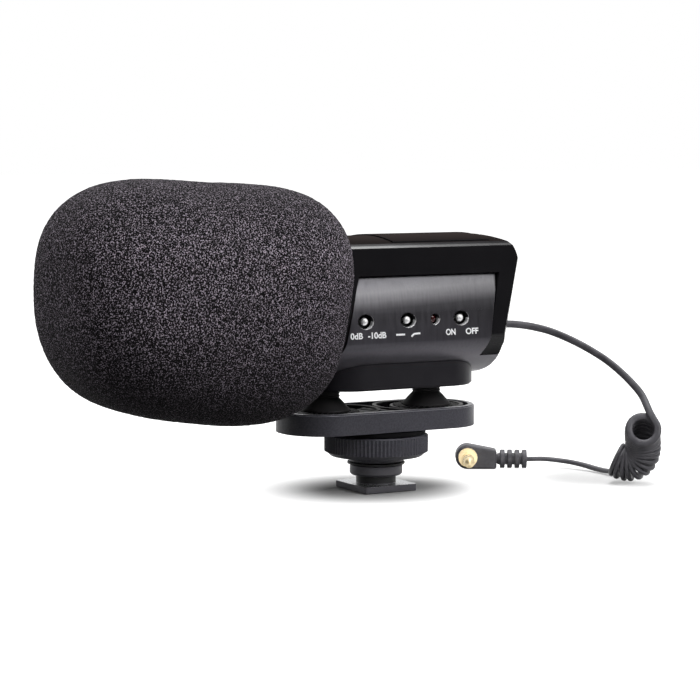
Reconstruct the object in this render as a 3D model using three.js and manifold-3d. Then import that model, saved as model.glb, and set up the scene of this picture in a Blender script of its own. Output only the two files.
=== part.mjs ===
// On camera stereo microphone: a foam covered head on a moulded body, hung on two rubber
// mounts over a tray with a shoe foot, with a curly lead that ends in an angled plug.
// Millimetres, +Z up, origin at the middle of the foot's underside. The head points to -Y,
// the switches are on the +X side and the lead leaves the body's back at +Y.
import * as THREE from 'three';
import { mergeVertices } from 'three/addons/utils/BufferGeometryUtils.js';
import Module from 'manifold-3d';

const wasm = await Module();
wasm.setup();

// Clearances that the whole object shares
const gap = 0.3;
const overrun = 1;

// Shoe foot, its neck and its threaded stud
const footWidth = 18.6;
const footLength = 18.1;
const footThickness = 2;
const footCorner = 0.9;
const neckRadius = 6.05;
const neckHeight = 3.4;
const studRadius = 4.5;

// Sliding clamp, its washer and the knurled lock ring that drives them down
const railGap = 2.4;
const clampRadius = 8.06;
const clampHeight = 3.05;
const clampBevel = 0.6;
const washerRadius = 8.8;
const washerThickness = 0.6;
const ringRadius = 15.8;
const ringHubRadius = 8.2;
const ringHubHeight = 1.65;
const ringChamfer = 1.3;
const ringChamferWidth = 1.9;
const ringKnurlHeight = 5;
const knurlDepth = 0.35;
const knurlCount = 84;
const ringRimHeight = 0.35;

// Boss, tray and nut
const bossRadius = 15;
const bossHeight = 1.1;
const trayHalfWidth = 13.44;
const trayCorner = 12.9;
const trayHeight = 6.4;
const trayWall = 1.9;
const trayFloor = 2.1;
const trayRimBevel = 0.4;
const nutAcrossCorners = 13;
const nutHeight = 3;
const nutSideRoom = 0.93;

// Rubber mounts, their carriers and the screws through them
const mountEndRoom = 1.66;
const mountPostRadius = 4.1;
const mountSkirtRadius = 7.4;
const mountFlangeRadius = 6.1;
const mountFlangeHeight = 1.3;
const mountBoreRadius = 2.1;
const mountSkirtHeight = 2.7;
const mountFlareHeight = 1.3;
const mountNeckHeight = 2.31;
const carrierWall = 1.1;
const carrierHeight = 3.6;
const carrierSpokes = 6;
const carrierSpokeWidth = 0.9;
const carrierRimHeight = 2.05;
const carrierApart = 0.9;
const screwShaftRadius = 1.5;
const screwHeadRadius = 3.3;
const screwHeadHeight = 1.2;
const screwDepth = 2.4;
const screwLift = 1.2;

// Saddle under the body
const saddleHalfWidth = 12.44;
const saddleFront = -23.6;
const saddleRear = 31.9;
const saddleCorner = 12.2;
const saddleHeight = 10.64;
const saddleFloor = 3.64;
const saddleBevel = 0.5;
const tieSpacing = 20;

// Body shell
const bodyHalfWidth = 18.1;
const bodyEdgeHalf = 17;
const bodyCrownHalf = 15.6;
const bodyDepth = 42;
const bodyWideRise = 12.5;
const bodyEdgeDrop = 3;
const bodyCrownRise = 1.8;
const bellyPower = 1.45;
const bodyFront = -27;
const bodyRearLow = 35;
const bodyRearLowRise = 6;
const bodyRearHigh = 39.9;
const bodyRearTopRun = 7.7;
const bodyRearTopDrop = 9.8;
const bodyBellyRun = 2.5;
const bodyCorner = 4;
const shellWall = 1.8;

// Side panel: the window in the frame and the bulging panel in it
const windowDrop = 11.1;
const windowFrontTop = -16.3;
const windowFrontLow = -19.8;
const windowFrontDrop = 13.1;
const windowRearTop = 32.7;
const windowRearLow = 28.4;
const windowRearRise = 5.8;
const panelTopHalf = 15.6;
const panelUpperHalf = 17.1;
const panelUpperDrop = 5.4;
const panelMiddleHalf = 17.9;
const panelMiddleDrop = 10.9;
const panelBulgeHalf = 18.7;
const panelBulgeRise = 11.5;
const bellyDrop = 0.9;

// Battery door on top, its hinge, and the two cells below it
const doorFront = -3.2;
const doorRearRoom = 9.3;
const doorRearGap = 0.45;
const doorHalf = 14.4;
const doorThickness = 2.6;
const doorRaise = 0.35;
const doorLedge = 1.1;
const doorSeatThickness = 1.2;
const hingeSetback = 2.2;
const hingeRise = 1.2;
const hingeBarrelRadius = 1.35;
const hingeBarrelHalf = 5;
const hingePinRadius = 0.5;
const hingePinHalf = 7.2;
const tongueDrop = 1.3;
const cellRadius = 5.25;
const cellLength = 43.5;
const cellRearRoom = 6.5;
const cellHeadroom = 1.55;
const cellSpread = 0.4;
const cellNippleRadius = 1.9;
const cellNippleLength = 0.9;
const cradleThickness = 1.4;
const cradleWallRise = 3;
const cradlePostHalf = 1.5;
const cradlePostAcross = -7.5;
const cradlePostPlaces = [-7, 28];
const contactThickness = 0.5;
const contactHeight = 8;

// Circuit board, switches and light
const boardInset = 8.6;
const boardThickness = 1.6;
const boardFront = -18;
const boardRear = 26;
const boardRise = 7.6;
const boardHeadroom = 2.45;
const boardScrewRadius = 0.9;
const boardScrewHead = 1.7;
const boardScrewHeadHeight = 1;
const boardScrewLength = 4.2;
const ribHalf = 1.6;
const switchDrop = 4.4;
const switchPlaces = { pad: -14.5, filter: 0.05, power: 18.65 };
const switchLength = 7;
const switchTall = 6;
const switchDepth = 4.4;
const slotLength = 4.6;
const slotTall = 2.2;
const leverPivotDepth = 1.6;
const leverPivotRadius = 0.8;
const leverPivotTall = 1.6;
const leverSetback = 0.6;
const leverReach = 5.1;
const leverStemRadius = 0.5;
const leverBallRadius = 1.15;
const leverThrow = 7;
const holeHalfLength = 2.7;
const holeHalfTall = 2.22;
const lightAlong = 9.5;
const lightRadius = 1.3;
const lightHoleRadius = 1.62;
const lightReach = 6.6;

// Head: collar, basket, bracket and the crossed pair of capsules
const headRise = 23.6;
const collarThickness = 2.6;
const collarHalfWidth = 17;
const collarHalfHeight = 18.1;
const collarCorner = 8;
const collarBore = 2;
const basketFrontRoom = 14.5;
const basketHalfWidth = 16.3;
const basketHalfHeight = 17.5;
const basketCorner = 8;
const basketRound = 12;
const basketEdge = 9;
const basketWall = 0.8;
const basketBars = 5;
const basketBarWidth = 2.2;
const basketBand = 4;
const capsuleRadius = 6.4;
const capsuleLength = 10;
const capsuleRise = 7.6;
const bootLength = 4;
const capsuleAngle = 45;
const bracketThickness = 2;
const bracketHalfWidth = 5;
const bracketReach = 10.8;
const bracketStalkRadius = 3;
const sleeveWall = 0.7;

// Foam windscreen
const foamOverlap = 11.3;
const foamHalfWidth = 33.5;
const foamHalfLength = 45.9;
const foamHalfHeight = 35;
const foamSectionPower = 3.2;
const foamProfilePower = 2.5;
const foamWall = 7.5;
const foamMouthGap = 0.45;
const foamAround = 32;
const foamAlongSteps = 18;
const hollowAround = 16;
const hollowSteps = 10;

// Lead: gland, free run, curls, tail and plug
const cordWidth = 2.3;
const cordThickness = 1.7;
const cordSides = 8;
const glandRise = 13.3;
const glandRadius = 2.9;
const glandTipRadius = 1.8;
const glandFlangeRadius = 4;
const glandFlangeThickness = 1.2;
const glandLength = 6.7;
const curlRadius = 4.4;
const curlCount = 7.75;
const curlSteps = 8;
const curlSides = 5;
const curlStart = 35;
const plugTurn = 59;
const plugHeadRadius = 3.95;
const plugHalfThickness = 3.2;
const plugBodyLength = 9.3;
const plugBodyHalfEnd = 3.05;
const reliefRadius = 3;
const reliefCoreRadius = 1.9;
const reliefRings = 4;
const reliefRingLength = 1.5;
const reliefNeckLength = 0.85;
const jackCollarRadius = 3.1;
const jackCollarLength = 1.2;
const jackRadius = 1.75;
const jackSleeveLength = 4.6;
const jackRingLength = 2.2;
const jackInsulator = 0.6;
const jackTipLength = 4.2;
const jackTipNeck = 1.2;

// Heights of the stack, from the floor up, and the places that follow from them
const neckTop = footThickness + neckHeight;
const clampBottom = footThickness + railGap;
const clampTop = clampBottom + clampHeight;
const washerBottom = clampTop + gap;
const ringBottom = washerBottom + washerThickness + gap;
const ringTop = ringBottom + ringHubHeight + ringChamfer + ringKnurlHeight + ringRimHeight;
const bossBottom = ringTop + gap;
const trayBottom = bossBottom + bossHeight + gap;
const trayFloorTop = trayBottom + trayFloor;
const trayTop = trayBottom + trayHeight;
const nutBottom = trayFloorTop + gap;
const nutTop = nutBottom + nutHeight;
const dishRadius = trayHalfWidth - trayWall - gap;
const nutFlatHalf = (nutAcrossCorners / 2) * Math.cos(Math.PI / 6);
const mountSpacing = (nutFlatHalf + nutSideRoom + dishRadius) * 2;
const trayHalfLength = mountSpacing / 2 + dishRadius + mountEndRoom + trayWall;
const screwHeadBottom = trayFloorTop + screwLift;
const mountBottom = screwHeadBottom + screwHeadHeight + gap;
const mountTop = mountBottom + mountFlangeHeight + mountSkirtHeight + mountFlareHeight + mountNeckHeight;
const saddleBottom = mountTop + gap;
const saddleTop = saddleBottom + saddleHeight;
const bodyBottom = saddleBottom + saddleFloor;
const bodyWideHeight = bodyBottom + bodyWideRise;
const bodyRearLowHeight = bodyBottom + bodyRearLowRise;
const bodyTop = bodyBottom + bodyDepth;
const bodyEdgeHeight = bodyTop - bodyEdgeDrop;
const windowTop = bodyTop - windowDrop;
const windowFrontLowHeight = windowTop - windowFrontDrop;
const windowRearLowHeight = bodyBottom + windowRearRise;
const panelUpperHeight = windowTop - panelUpperDrop;
const panelMiddleHeight = windowTop - panelMiddleDrop;
const panelBulgeHeight = bodyBottom + panelBulgeRise;
const doorUnder = bodyTop - doorThickness;
const doorCeiling = doorUnder - doorSeatThickness;
const doorRear = bodyRearHigh - doorRearRoom;
const hingeAlong = doorRear + hingeSetback;
const hingeHeight = doorUnder + hingeRise;
const cellRear = bodyRearHigh - cellRearRoom;
const cellAxisHeight = doorCeiling - cellHeadroom - cellRadius;
const cradleBottom = cellAxisHeight - cellRadius - gap - cradleThickness;
const boardNear = panelBulgeHalf - boardInset;
const boardFar = boardNear - boardThickness;
const boardBottom = bodyBottom + boardRise;
const boardTop = cradleBottom - boardHeadroom;
const switchHeight = boardTop - switchDrop;
const headHeight = bodyBottom + headRise;
const glandHeight = bodyBottom + glandRise;
const basketRear = bodyFront - collarThickness - gap * 2;
const bracketRear = basketRear - bracketReach;
const foamAlong = bodyFront + foamOverlap - foamHalfLength;
const basketFront = foamAlong - foamHalfLength + basketFrontRoom;
const rearSlope = (bodyRearHigh - bodyRearLow) / (bodyTop - bodyRearTopDrop - bodyRearLowHeight);
const bellyFloor = bodyBottom - bellyDrop + shellWall;
const rearAt = (z) => bodyRearLow + (z - bodyRearLowHeight) * rearSlope;

// Finishes
const finish = (color, roughness, metalness) =>
  new THREE.MeshStandardMaterial({ color, roughness, metalness });
const glossBlack = finish(0x121214, 0.25, 0);
const satinPanel = finish(0x3c3a3e, 0.42, 0.35);
const satinBlack = finish(0x26262a, 0.5, 0.1);
const slatePaint = finish(0x2f3038, 0.45, 0.2);
const steelBlack = finish(0x2b2c33, 0.4, 0.6);
const plainSteel = finish(0xb9bbc0, 0.35, 1);
const chromeBall = finish(0xe4e6ea, 0.12, 1);
const goldPlate = finish(0xd8b25a, 0.25, 1);
const blackRubber = finish(0x161618, 0.8, 0);
const greyCord = finish(0x4a4b52, 0.6, 0);
const foamCloth = finish(0x201e22, 1, 0);
const redLens = finish(0x5c0f12, 0.2, 0);
const boardGreen = finish(0x1f5a36, 0.5, 0);
const cellSleeve = finish(0x2d3f63, 0.4, 0.3);

// A closed solid with its shared corners merged and its faces pointing out
function closed(geometry) {
  const bare = geometry.index ? geometry.toNonIndexed() : geometry.clone();
  bare.deleteAttribute('normal');
  if (bare.attributes.uv) bare.deleteAttribute('uv');
  const merged = mergeVertices(bare, 1e-4);
  const place = merged.attributes.position;
  const corners = [0, 1, 2].map(() => new THREE.Vector3());
  const faces = [];
  let volume = 0;
  for (let i = 0; i < merged.index.count; i += 3) {
    const face = [0, 1, 2].map((k) => merged.index.getX(i + k));
    if (new Set(face).size < 3) continue;
    face.forEach((index, k) => corners[k].fromBufferAttribute(place, index));
    volume += corners[0].dot(corners[1].clone().cross(corners[2]));
    faces.push(face);
  }
  if (volume < 0) faces.forEach((face) => face.reverse());
  merged.setIndex(faces.flat());
  return merged;
}

function solid(geometry) {
  const shape = closed(geometry);
  return new wasm.Manifold(new wasm.Mesh({
    numProp: 3,
    vertProperties: new Float32Array(shape.attributes.position.array),
    triVerts: new Uint32Array(shape.index.array),
  }));
}

function geometryOf(manifold) {
  const mesh = manifold.getMesh();
  const geometry = new THREE.BufferGeometry();
  geometry.setAttribute('position', new THREE.BufferAttribute(mesh.vertProperties, 3));
  geometry.setIndex(new THREE.BufferAttribute(mesh.triVerts, 1));
  return geometry;
}

const microphone = new THREE.Group();

function piece(name, shape, material, parent = microphone) {
  const geometry = shape.isBufferGeometry ? closed(shape) : geometryOf(shape);
  geometry.computeVertexNormals();
  const mesh = new THREE.Mesh(geometry, material);
  mesh.name = name;
  parent.add(mesh);
  return mesh;
}

// Basic forms, each along one axis of the object
const alongX = new THREE.Matrix4().makeBasis(
  new THREE.Vector3(0, 1, 0), new THREE.Vector3(0, 0, 1), new THREE.Vector3(1, 0, 0));
const alongY = new THREE.Matrix4().makeBasis(
  new THREE.Vector3(1, 0, 0), new THREE.Vector3(0, 0, 1), new THREE.Vector3(0, -1, 0));

const extrude = (outline, depth, curveSegments = 6) =>
  new THREE.ExtrudeGeometry(outline, { depth, bevelEnabled: false, curveSegments });
const prismZ = (outline, low, high, segments) =>
  extrude(outline, high - low, segments).translate(0, 0, low);
const prismX = (outline, low, high, segments) =>
  extrude(outline, high - low, segments).applyMatrix4(alongX).translate(low, 0, 0);
const prismY = (outline, low, high, segments) =>
  extrude(outline, high - low, segments).applyMatrix4(alongY).translate(0, high, 0);

function block(x, y, z) {
  const box = new THREE.BoxGeometry(x[1] - x[0], y[1] - y[0], z[1] - z[0]);
  return box.translate((x[0] + x[1]) / 2, (y[0] + y[1]) / 2, (z[0] + z[1]) / 2);
}

function lathe(profile, segments = 24) {
  const points = profile.map(([radius, height]) => new THREE.Vector2(radius, height));
  return new THREE.LatheGeometry(points, segments).rotateX(Math.PI / 2);
}

const rod = (radius, low, high, segments = 20) =>
  lathe([[0, low], [radius, low], [radius, high], [0, high]], segments);

const tubeRing = (inner, outer, low, high, segments = 28) =>
  lathe([[inner, low], [outer, low], [outer, high], [inner, high], [inner, low]], segments);

function roundedRectangle(halfWidth, halfLength, radius, along = 0) {
  const outline = new THREE.Shape();
  const x = halfWidth - radius;
  const y = halfLength - radius;
  outline.absarc(x, along - y, radius, -Math.PI / 2, 0);
  outline.absarc(x, along + y, radius, 0, Math.PI / 2);
  outline.absarc(-x, along + y, radius, Math.PI / 2, Math.PI);
  outline.absarc(-x, along - y, radius, Math.PI, Math.PI * 3 / 2);
  outline.closePath();
  return outline;
}

// Half an outline from bottom to top on the +X side, mirrored to the other side
function mirrored(half) {
  const points = half.map(([x, z]) => new THREE.Vector2(x, z));
  const others = half.filter(([x]) => x > 0).reverse().map(([x, z]) => new THREE.Vector2(-x, z));
  return new THREE.Shape(points.concat(others));
}

// The rounded underside, from the middle of the belly out to its widest line
function bellyCurve(halfWidth, wide, bottom, steps = 8) {
  return Array.from({ length: steps + 1 }, (_, i) => {
    const turn = (Math.PI / 2) * (i / steps);
    const x = halfWidth * Math.sin(turn) ** (2 / bellyPower);
    const z = wide - (wide - bottom) * Math.cos(turn) ** (2 / bellyPower);
    return [x, z];
  });
}

function crownCurve(half, top, rise, steps = 5) {
  return Array.from({ length: steps + 1 }, (_, i) => {
    const x = half * (1 - i / steps);
    return [x, top - rise * (x / half) ** 2];
  });
}

// Cross section of the frame, grown or shrunk by an offset
function frameSection(grow) {
  return mirrored([
    ...bellyCurve(bodyHalfWidth + grow, bodyWideHeight, bodyBottom - grow),
    [bodyEdgeHalf + grow, bodyEdgeHeight + grow / 2],
    ...crownCurve(bodyCrownHalf + grow / 2, bodyTop + grow, bodyCrownRise),
  ]);
}

// Cross section of the bulging side panels and the belly between them
function panelSection(grow) {
  return mirrored([
    ...bellyCurve(panelBulgeHalf + grow, panelBulgeHeight, bodyBottom - bellyDrop - grow),
    [panelMiddleHalf + grow, panelMiddleHeight],
    [panelUpperHalf + grow, panelUpperHeight],
    [panelTopHalf + grow, windowTop],
    [0, windowTop],
  ]);
}

// Side view of the body: leaning back, round at the top and the underside
function bodySide(grow) {
  const outline = new THREE.Shape();
  const bottom = bodyBottom - bellyDrop - grow;
  outline.moveTo(bodyFront, bottom);
  outline.lineTo(bodyRearLow - bodyBellyRun, bottom);
  outline.quadraticCurveTo(bodyRearLow + grow - bodyBellyRun / 4, bottom,
    bodyRearLow + grow, bodyRearLowHeight);
  outline.absellipse(bodyRearHigh - bodyRearTopRun, bodyTop - bodyRearTopDrop,
    bodyRearTopRun + grow, bodyRearTopDrop + grow, 0, Math.PI / 2);
  outline.lineTo(bodyFront, bodyTop + grow);
  outline.closePath();
  return outline;
}

// Plan view of the body, with round corners at the back that follow the leaning wall
function bodyPlan(grow) {
  const half = panelBulgeHalf + grow;
  const outline = roundedRectangle(half, (bodyRearLow + grow - bodyFront) / 2 + bodyCorner,
    bodyCorner, (bodyRearLow + grow + bodyFront) / 2 - bodyCorner);
  const prism = extrude(outline, bodyTop - bodyBottom + overrun * 4, 4);
  const lean = new THREE.Matrix4().makeShear(0, 0, 0, 0, 0, rearSlope);
  const low = bodyBottom - overrun * 2;
  return prism.applyMatrix4(lean).translate(0, (low - bodyRearLowHeight) * rearSlope, low);
}

function bodyForm(section, grow) {
  const wide = panelBulgeHalf + overrun;
  const along = solid(prismY(section, bodyFront, bodyRearHigh + overrun));
  const side = solid(prismX(bodySide(grow), -wide, wide));
  return along.intersect(side).intersect(solid(bodyPlan(grow)));
}

// Side view of the window in the frame, which the panels and the belly fill
function windowSide(shrink) {
  const outline = new THREE.Shape();
  const frontSlope = (windowFrontTop - windowFrontLow) / (windowTop - windowFrontLowHeight);
  const bottom = bodyBottom - overrun * 2;
  const frontBottom = windowFrontLow - (windowFrontLowHeight - bottom) * frontSlope;
  outline.moveTo(frontBottom + shrink, bottom);
  outline.lineTo(bodyRearHigh + overrun, bottom);
  outline.lineTo(bodyRearHigh + overrun, windowRearLowHeight - shrink);
  outline.lineTo(windowRearLow - shrink, windowRearLowHeight - shrink);
  outline.lineTo(windowRearTop - shrink, windowTop - shrink);
  outline.lineTo(windowFrontTop + shrink, windowTop - shrink);
  outline.closePath();
  return outline;
}

const windowPrism = (shrink) =>
  solid(prismX(windowSide(shrink), -panelBulgeHalf - overrun, panelBulgeHalf + overrun));

// Foot: a square plate for the camera's shoe, its neck and the stud above it
function shoeFoot() {
  const plate = solid(prismZ(
    roundedRectangle(footWidth / 2, footLength / 2, footCorner), 0, footThickness, 3));
  const neck = solid(rod(neckRadius, footThickness / 2, neckTop, 28));
  const stud = solid(rod(studRadius, footThickness, nutTop));
  piece('shoe_foot', plate.add(neck).add(stud), steelBlack);
}

// Clamp and washer, which slide down the neck onto the shoe's rails
function clamp() {
  const bore = neckRadius + gap;
  piece('clamp_collar', lathe([
    [bore, clampBottom], [clampRadius - clampBevel, clampBottom],
    [clampRadius, clampBottom + clampBevel], [clampRadius, clampTop], [bore, clampTop],
    [bore, clampBottom],
  ], 28), steelBlack);
  piece('clamp_washer', tubeRing(studRadius + gap, washerRadius, washerBottom,
    washerBottom + washerThickness, 28), plainSteel);
}

// Lock ring: a knurled wheel with a chamfer below and a hub on the stud
function lockRing() {
  const hubTop = ringBottom + ringHubHeight;
  const knurlBottom = hubTop + ringChamfer;
  const outline = new THREE.Shape(Array.from({ length: knurlCount * 2 }, (_, i) => {
    const turn = (Math.PI * i) / knurlCount;
    const radius = ringRadius - (i % 2) * knurlDepth;
    return new THREE.Vector2(radius * Math.cos(turn), radius * Math.sin(turn));
  }));
  const knurl = solid(prismZ(outline, knurlBottom, ringTop - ringRimHeight));
  const inner = ringRadius - ringChamferWidth;
  const below = solid(lathe([
    [0, ringBottom], [ringHubRadius, ringBottom], [ringHubRadius, hubTop], [inner, hubTop],
    [ringRadius - knurlDepth, knurlBottom], [ringRadius - knurlDepth, knurlBottom + overrun],
    [0, knurlBottom + overrun],
  ], 36));
  const rim = ringRadius - knurlDepth;
  const above = solid(lathe([
    [0, ringTop - ringRimHeight - overrun], [rim, ringTop - ringRimHeight - overrun],
    [rim, ringTop - ringRimHeight], [rim - ringRimHeight, ringTop], [0, ringTop],
  ], 36));
  const bore = solid(rod(studRadius + gap, ringBottom - overrun, ringTop + overrun));
  piece('lock_ring', knurl.add(below).add(above).subtract(bore), slatePaint);
}

// Boss, tray and nut: the stud passes through all three
function trayStack() {
  piece('base_boss', tubeRing(studRadius + gap, bossRadius, bossBottom, bossBottom + bossHeight, 32),
    satinBlack);
  const outer = solid(prismZ(roundedRectangle(trayHalfWidth, trayHalfLength, trayCorner),
    trayBottom, trayTop - trayRimBevel, 5));
  const rim = solid(prismZ(roundedRectangle(trayHalfWidth - trayRimBevel,
    trayHalfLength - trayRimBevel, trayCorner - trayRimBevel), trayTop - trayRimBevel - overrun,
  trayTop, 5));
  const inner = solid(prismZ(roundedRectangle(trayHalfWidth - trayWall, trayHalfLength - trayWall,
    trayCorner - trayWall), trayFloorTop, trayTop + overrun, 5));
  const hole = solid(rod(studRadius + gap, trayBottom - overrun, trayFloorTop + overrun));
  piece('base_tray', outer.add(rim).subtract(inner).subtract(hole), slatePaint);
  const nut = solid(rod(nutAcrossCorners / 2, nutBottom, nutTop, 6).rotateZ(Math.PI / 6));
  const thread = solid(rod(studRadius + gap, nutBottom - overrun, nutTop + overrun));
  piece('stud_nut', nut.subtract(thread), plainSteel);
}

// One rubber mount in its spoked carrier, whose oval rim stands up over the nut, and the
// screw that ties the mount to the saddle
function suspension(side, along) {
  const mount = new THREE.Group();
  mount.position.y = along;
  microphone.add(mount);
  const hubInner = mountFlangeRadius + gap;
  const hubOuter = hubInner + carrierWall;
  const low = trayFloorTop + gap;
  const high = low + carrierHeight;
  let carrier = solid(tubeRing(dishRadius - carrierWall, dishRadius, low, high, 24));
  carrier = carrier.add(solid(tubeRing(hubInner, hubOuter, low, high, 20)));
  for (let i = 0; i < carrierSpokes; i += 1) {
    const spoke = block([hubOuter - carrierWall / 2, dishRadius - carrierWall / 2],
      [-carrierSpokeWidth / 2, carrierSpokeWidth / 2], [low, high - carrierWall]);
    carrier = carrier.add(solid(spoke.rotateZ((Math.PI * 2 * (i + 0.5)) / carrierSpokes)));
  }
  const rimHalf = (mountSpacing / 2 + dishRadius - carrierApart / 2) / 2;
  const middle = Math.sign(along) * (rimHalf + carrierApart / 2) - along;
  const rimLow = nutTop + gap;
  const oval = (inset, low, high) => solid(prismZ(roundedRectangle(dishRadius - inset,
    rimHalf - inset, dishRadius - inset - gap, middle), low, high, 5));
  carrier = carrier.add(oval(0, rimLow, rimLow + carrierRimHeight)
    .subtract(oval(carrierWall, rimLow - overrun, rimLow + carrierRimHeight + overrun)));
  piece(`mount_carrier_${side}`, carrier, satinBlack, mount);
  const flangeTop = mountBottom + mountFlangeHeight;
  const skirtTop = flangeTop + mountSkirtHeight;
  const flareTop = skirtTop + mountFlareHeight;
  piece(`rubber_mount_${side}`, lathe([
    [mountBoreRadius, mountBottom], [mountFlangeRadius, mountBottom],
    [mountFlangeRadius, flangeTop], [mountSkirtRadius, skirtTop - mountSkirtHeight / 4],
    [mountSkirtRadius, skirtTop], [(mountPostRadius + mountSkirtRadius) / 2, skirtTop + mountFlareHeight / 4],
    [mountPostRadius, flareTop], [mountPostRadius, mountTop], [mountBoreRadius, mountTop],
    [mountBoreRadius, mountBottom],
  ], 20), blackRubber, mount);
  piece(`mount_screw_${side}`, lathe([
    [0, screwHeadBottom], [screwHeadRadius, screwHeadBottom],
    [screwHeadRadius, screwHeadBottom + screwHeadHeight],
    [screwShaftRadius, screwHeadBottom + screwHeadHeight],
    [screwShaftRadius, saddleBottom + screwDepth - gap], [0, saddleBottom + screwDepth - gap],
  ], 16), plainSteel, mount);
}

// Saddle: the block that cups the belly, bored for the screws from below and above
function saddleForm(grow) {
  const halfLength = (saddleRear - saddleFront) / 2 + grow;
  const middle = (saddleRear + saddleFront) / 2;
  const main = prismZ(roundedRectangle(saddleHalfWidth + grow, halfLength, saddleCorner, middle),
    saddleBottom + saddleBevel - grow, saddleTop, 4);
  const under = prismZ(roundedRectangle(saddleHalfWidth - saddleBevel + grow,
    halfLength - saddleBevel, saddleCorner - saddleBevel, middle), saddleBottom - grow,
  saddleBottom + overrun, 4);
  return solid(main).add(solid(under));
}

function saddle() {
  let form = saddleForm(0).subtract(bodyForm(panelSection(gap), gap));
  for (const along of [-mountSpacing / 2, mountSpacing / 2]) {
    const hole = rod(screwShaftRadius + gap, saddleBottom - overrun, saddleBottom + screwDepth);
    form = form.subtract(solid(hole.translate(0, along, 0)));
  }
  for (const along of [-tieSpacing / 2, tieSpacing / 2]) {
    const hole = rod(screwShaftRadius + gap, saddleBottom + screwDepth / 2, saddleTop);
    form = form.subtract(solid(hole.translate(0, along, 0)));
  }
  piece('saddle', form, satinBlack);
}

// Screws that tie the belly down onto the saddle
function tieScrews() {
  [['front', -tieSpacing / 2], ['rear', tieSpacing / 2]].forEach(([side, along]) => {
    const low = saddleBottom + screwDepth / 2 + gap;
    piece(`tie_screw_${side}`, lathe([
      [0, low], [screwShaftRadius, low], [screwShaftRadius, bellyFloor + gap],
      [screwHeadRadius, bellyFloor + gap],
      [screwHeadRadius, bellyFloor + gap + screwHeadHeight],
      [0, bellyFloor + gap + screwHeadHeight],
    ], 16), plainSteel).position.y = along;
  });
}

// Lower shell: both side panels and the belly, with switch holes, board and cradle posts
function lowerShell() {
  let shell = bodyForm(panelSection(0), 0).intersect(windowPrism(gap));
  const inside = bodyForm(panelSection(-shellWall), -shellWall);
  const lid = solid(block([-panelTopHalf + shellWall, panelTopHalf - shellWall],
    [windowFrontTop + shellWall, windowRearTop - shellWall * 2],
    [windowTop - shellWall * 3, windowTop + overrun]));
  const hollow = inside.add(lid).intersect(solid(block([-bodyHalfWidth, bodyHalfWidth],
    [windowFrontLow - overrun, bodyRearHigh], [bodyBottom, windowTop + overrun])));
  shell = shell.subtract(hollow);
  for (const along of [boardFront + ribHalf * 2, boardRear - ribHalf * 2]) {
    const rib = block([boardFar - ribHalf * 2, boardNear + ribHalf],
      [along - ribHalf, along + ribHalf], [bodyBottom, boardBottom - gap]);
    const post = block([boardFar - boardScrewLength, boardFar - gap],
      [along - ribHalf, along + ribHalf], [bodyBottom, boardBottom + ribHalf * 2]);
    shell = shell.add(solid(rib).add(solid(post)).intersect(bodyForm(panelSection(0), 0)));
    const hole = rod(boardScrewRadius + gap, boardFar - boardScrewLength + gap, boardNear, 12);
    shell = shell.subtract(solid(hole.rotateY(Math.PI / 2).translate(0, along, boardBottom + ribHalf)));
  }
  for (const along of cradlePostPlaces) {
    const post = block([cradlePostAcross - cradlePostHalf, cradlePostAcross + cradlePostHalf],
      [along - cradlePostHalf, along + cradlePostHalf], [bodyBottom, cradleBottom - gap]);
    shell = shell.add(solid(post).intersect(bodyForm(panelSection(0), 0)));
  }
  for (const along of Object.values(switchPlaces)) {
    const hole = new THREE.Shape();
    hole.absellipse(along, switchHeight, holeHalfLength, holeHalfTall, 0, Math.PI * 2);
    shell = shell.subtract(solid(prismX(hole, boardNear, panelBulgeHalf + overrun, 8)));
  }
  const lightHole = new THREE.Shape();
  lightHole.absarc(lightAlong, switchHeight, lightHoleRadius, 0, Math.PI * 2);
  shell = shell.subtract(solid(prismX(lightHole, boardNear, panelBulgeHalf + overrun, 6)));
  for (const along of [-tieSpacing / 2, tieSpacing / 2]) {
    const hole = rod(screwShaftRadius + gap, saddleBottom, switchHeight);
    const face = rod(screwHeadRadius + gap, bellyFloor, switchHeight);
    shell = shell.subtract(solid(hole.translate(0, along, 0)))
      .subtract(solid(face.translate(0, along, 0)));
  }
  piece('lower_shell', shell, satinPanel);
}

// Upper shell: top, front hoop and back wall, open over the battery and at the front
function upperShell() {
  let shell = bodyForm(frameSection(0), 0).subtract(windowPrism(0));
  const hollow = bodyForm(frameSection(-shellWall), -shellWall).intersect(solid(block(
    [-bodyHalfWidth, bodyHalfWidth], [bodyFront - overrun, bodyRearHigh],
    [bodyBottom - overrun, doorCeiling])));
  shell = shell.subtract(hollow);
  const seat = block([-doorHalf - gap, doorHalf + gap], [doorFront - gap, doorRear + doorRearGap],
    [doorUnder - gap, bodyTop + overrun]);
  const mouth = block([-doorHalf + doorLedge, doorHalf - doorLedge],
    [doorFront + doorLedge, doorRear + doorRearGap], [windowTop, bodyTop + overrun]);
  const notch = block([-hingeBarrelHalf - gap, hingeBarrelHalf + gap],
    [doorRear - overrun, hingeAlong + hingeBarrelRadius + gap],
    [hingeHeight - hingeBarrelRadius - gap * 2, bodyTop + overrun]);
  shell = shell.subtract(solid(seat)).subtract(solid(mouth)).subtract(solid(notch));
  const pinHole = rod(hingePinRadius + gap, -hingePinHalf - gap, hingePinHalf + gap, 12)
    .rotateY(Math.PI / 2).translate(0, hingeAlong, hingeHeight);
  const glandHole = rod(glandRadius + gap, bodyRearLow - overrun * 4, bodyRearHigh + overrun, 20)
    .rotateX(-Math.PI / 2).translate(0, 0, glandHeight);
  piece('upper_shell', shell.subtract(solid(pinHole)).subtract(solid(glandHole)), glossBlack);
}

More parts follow.
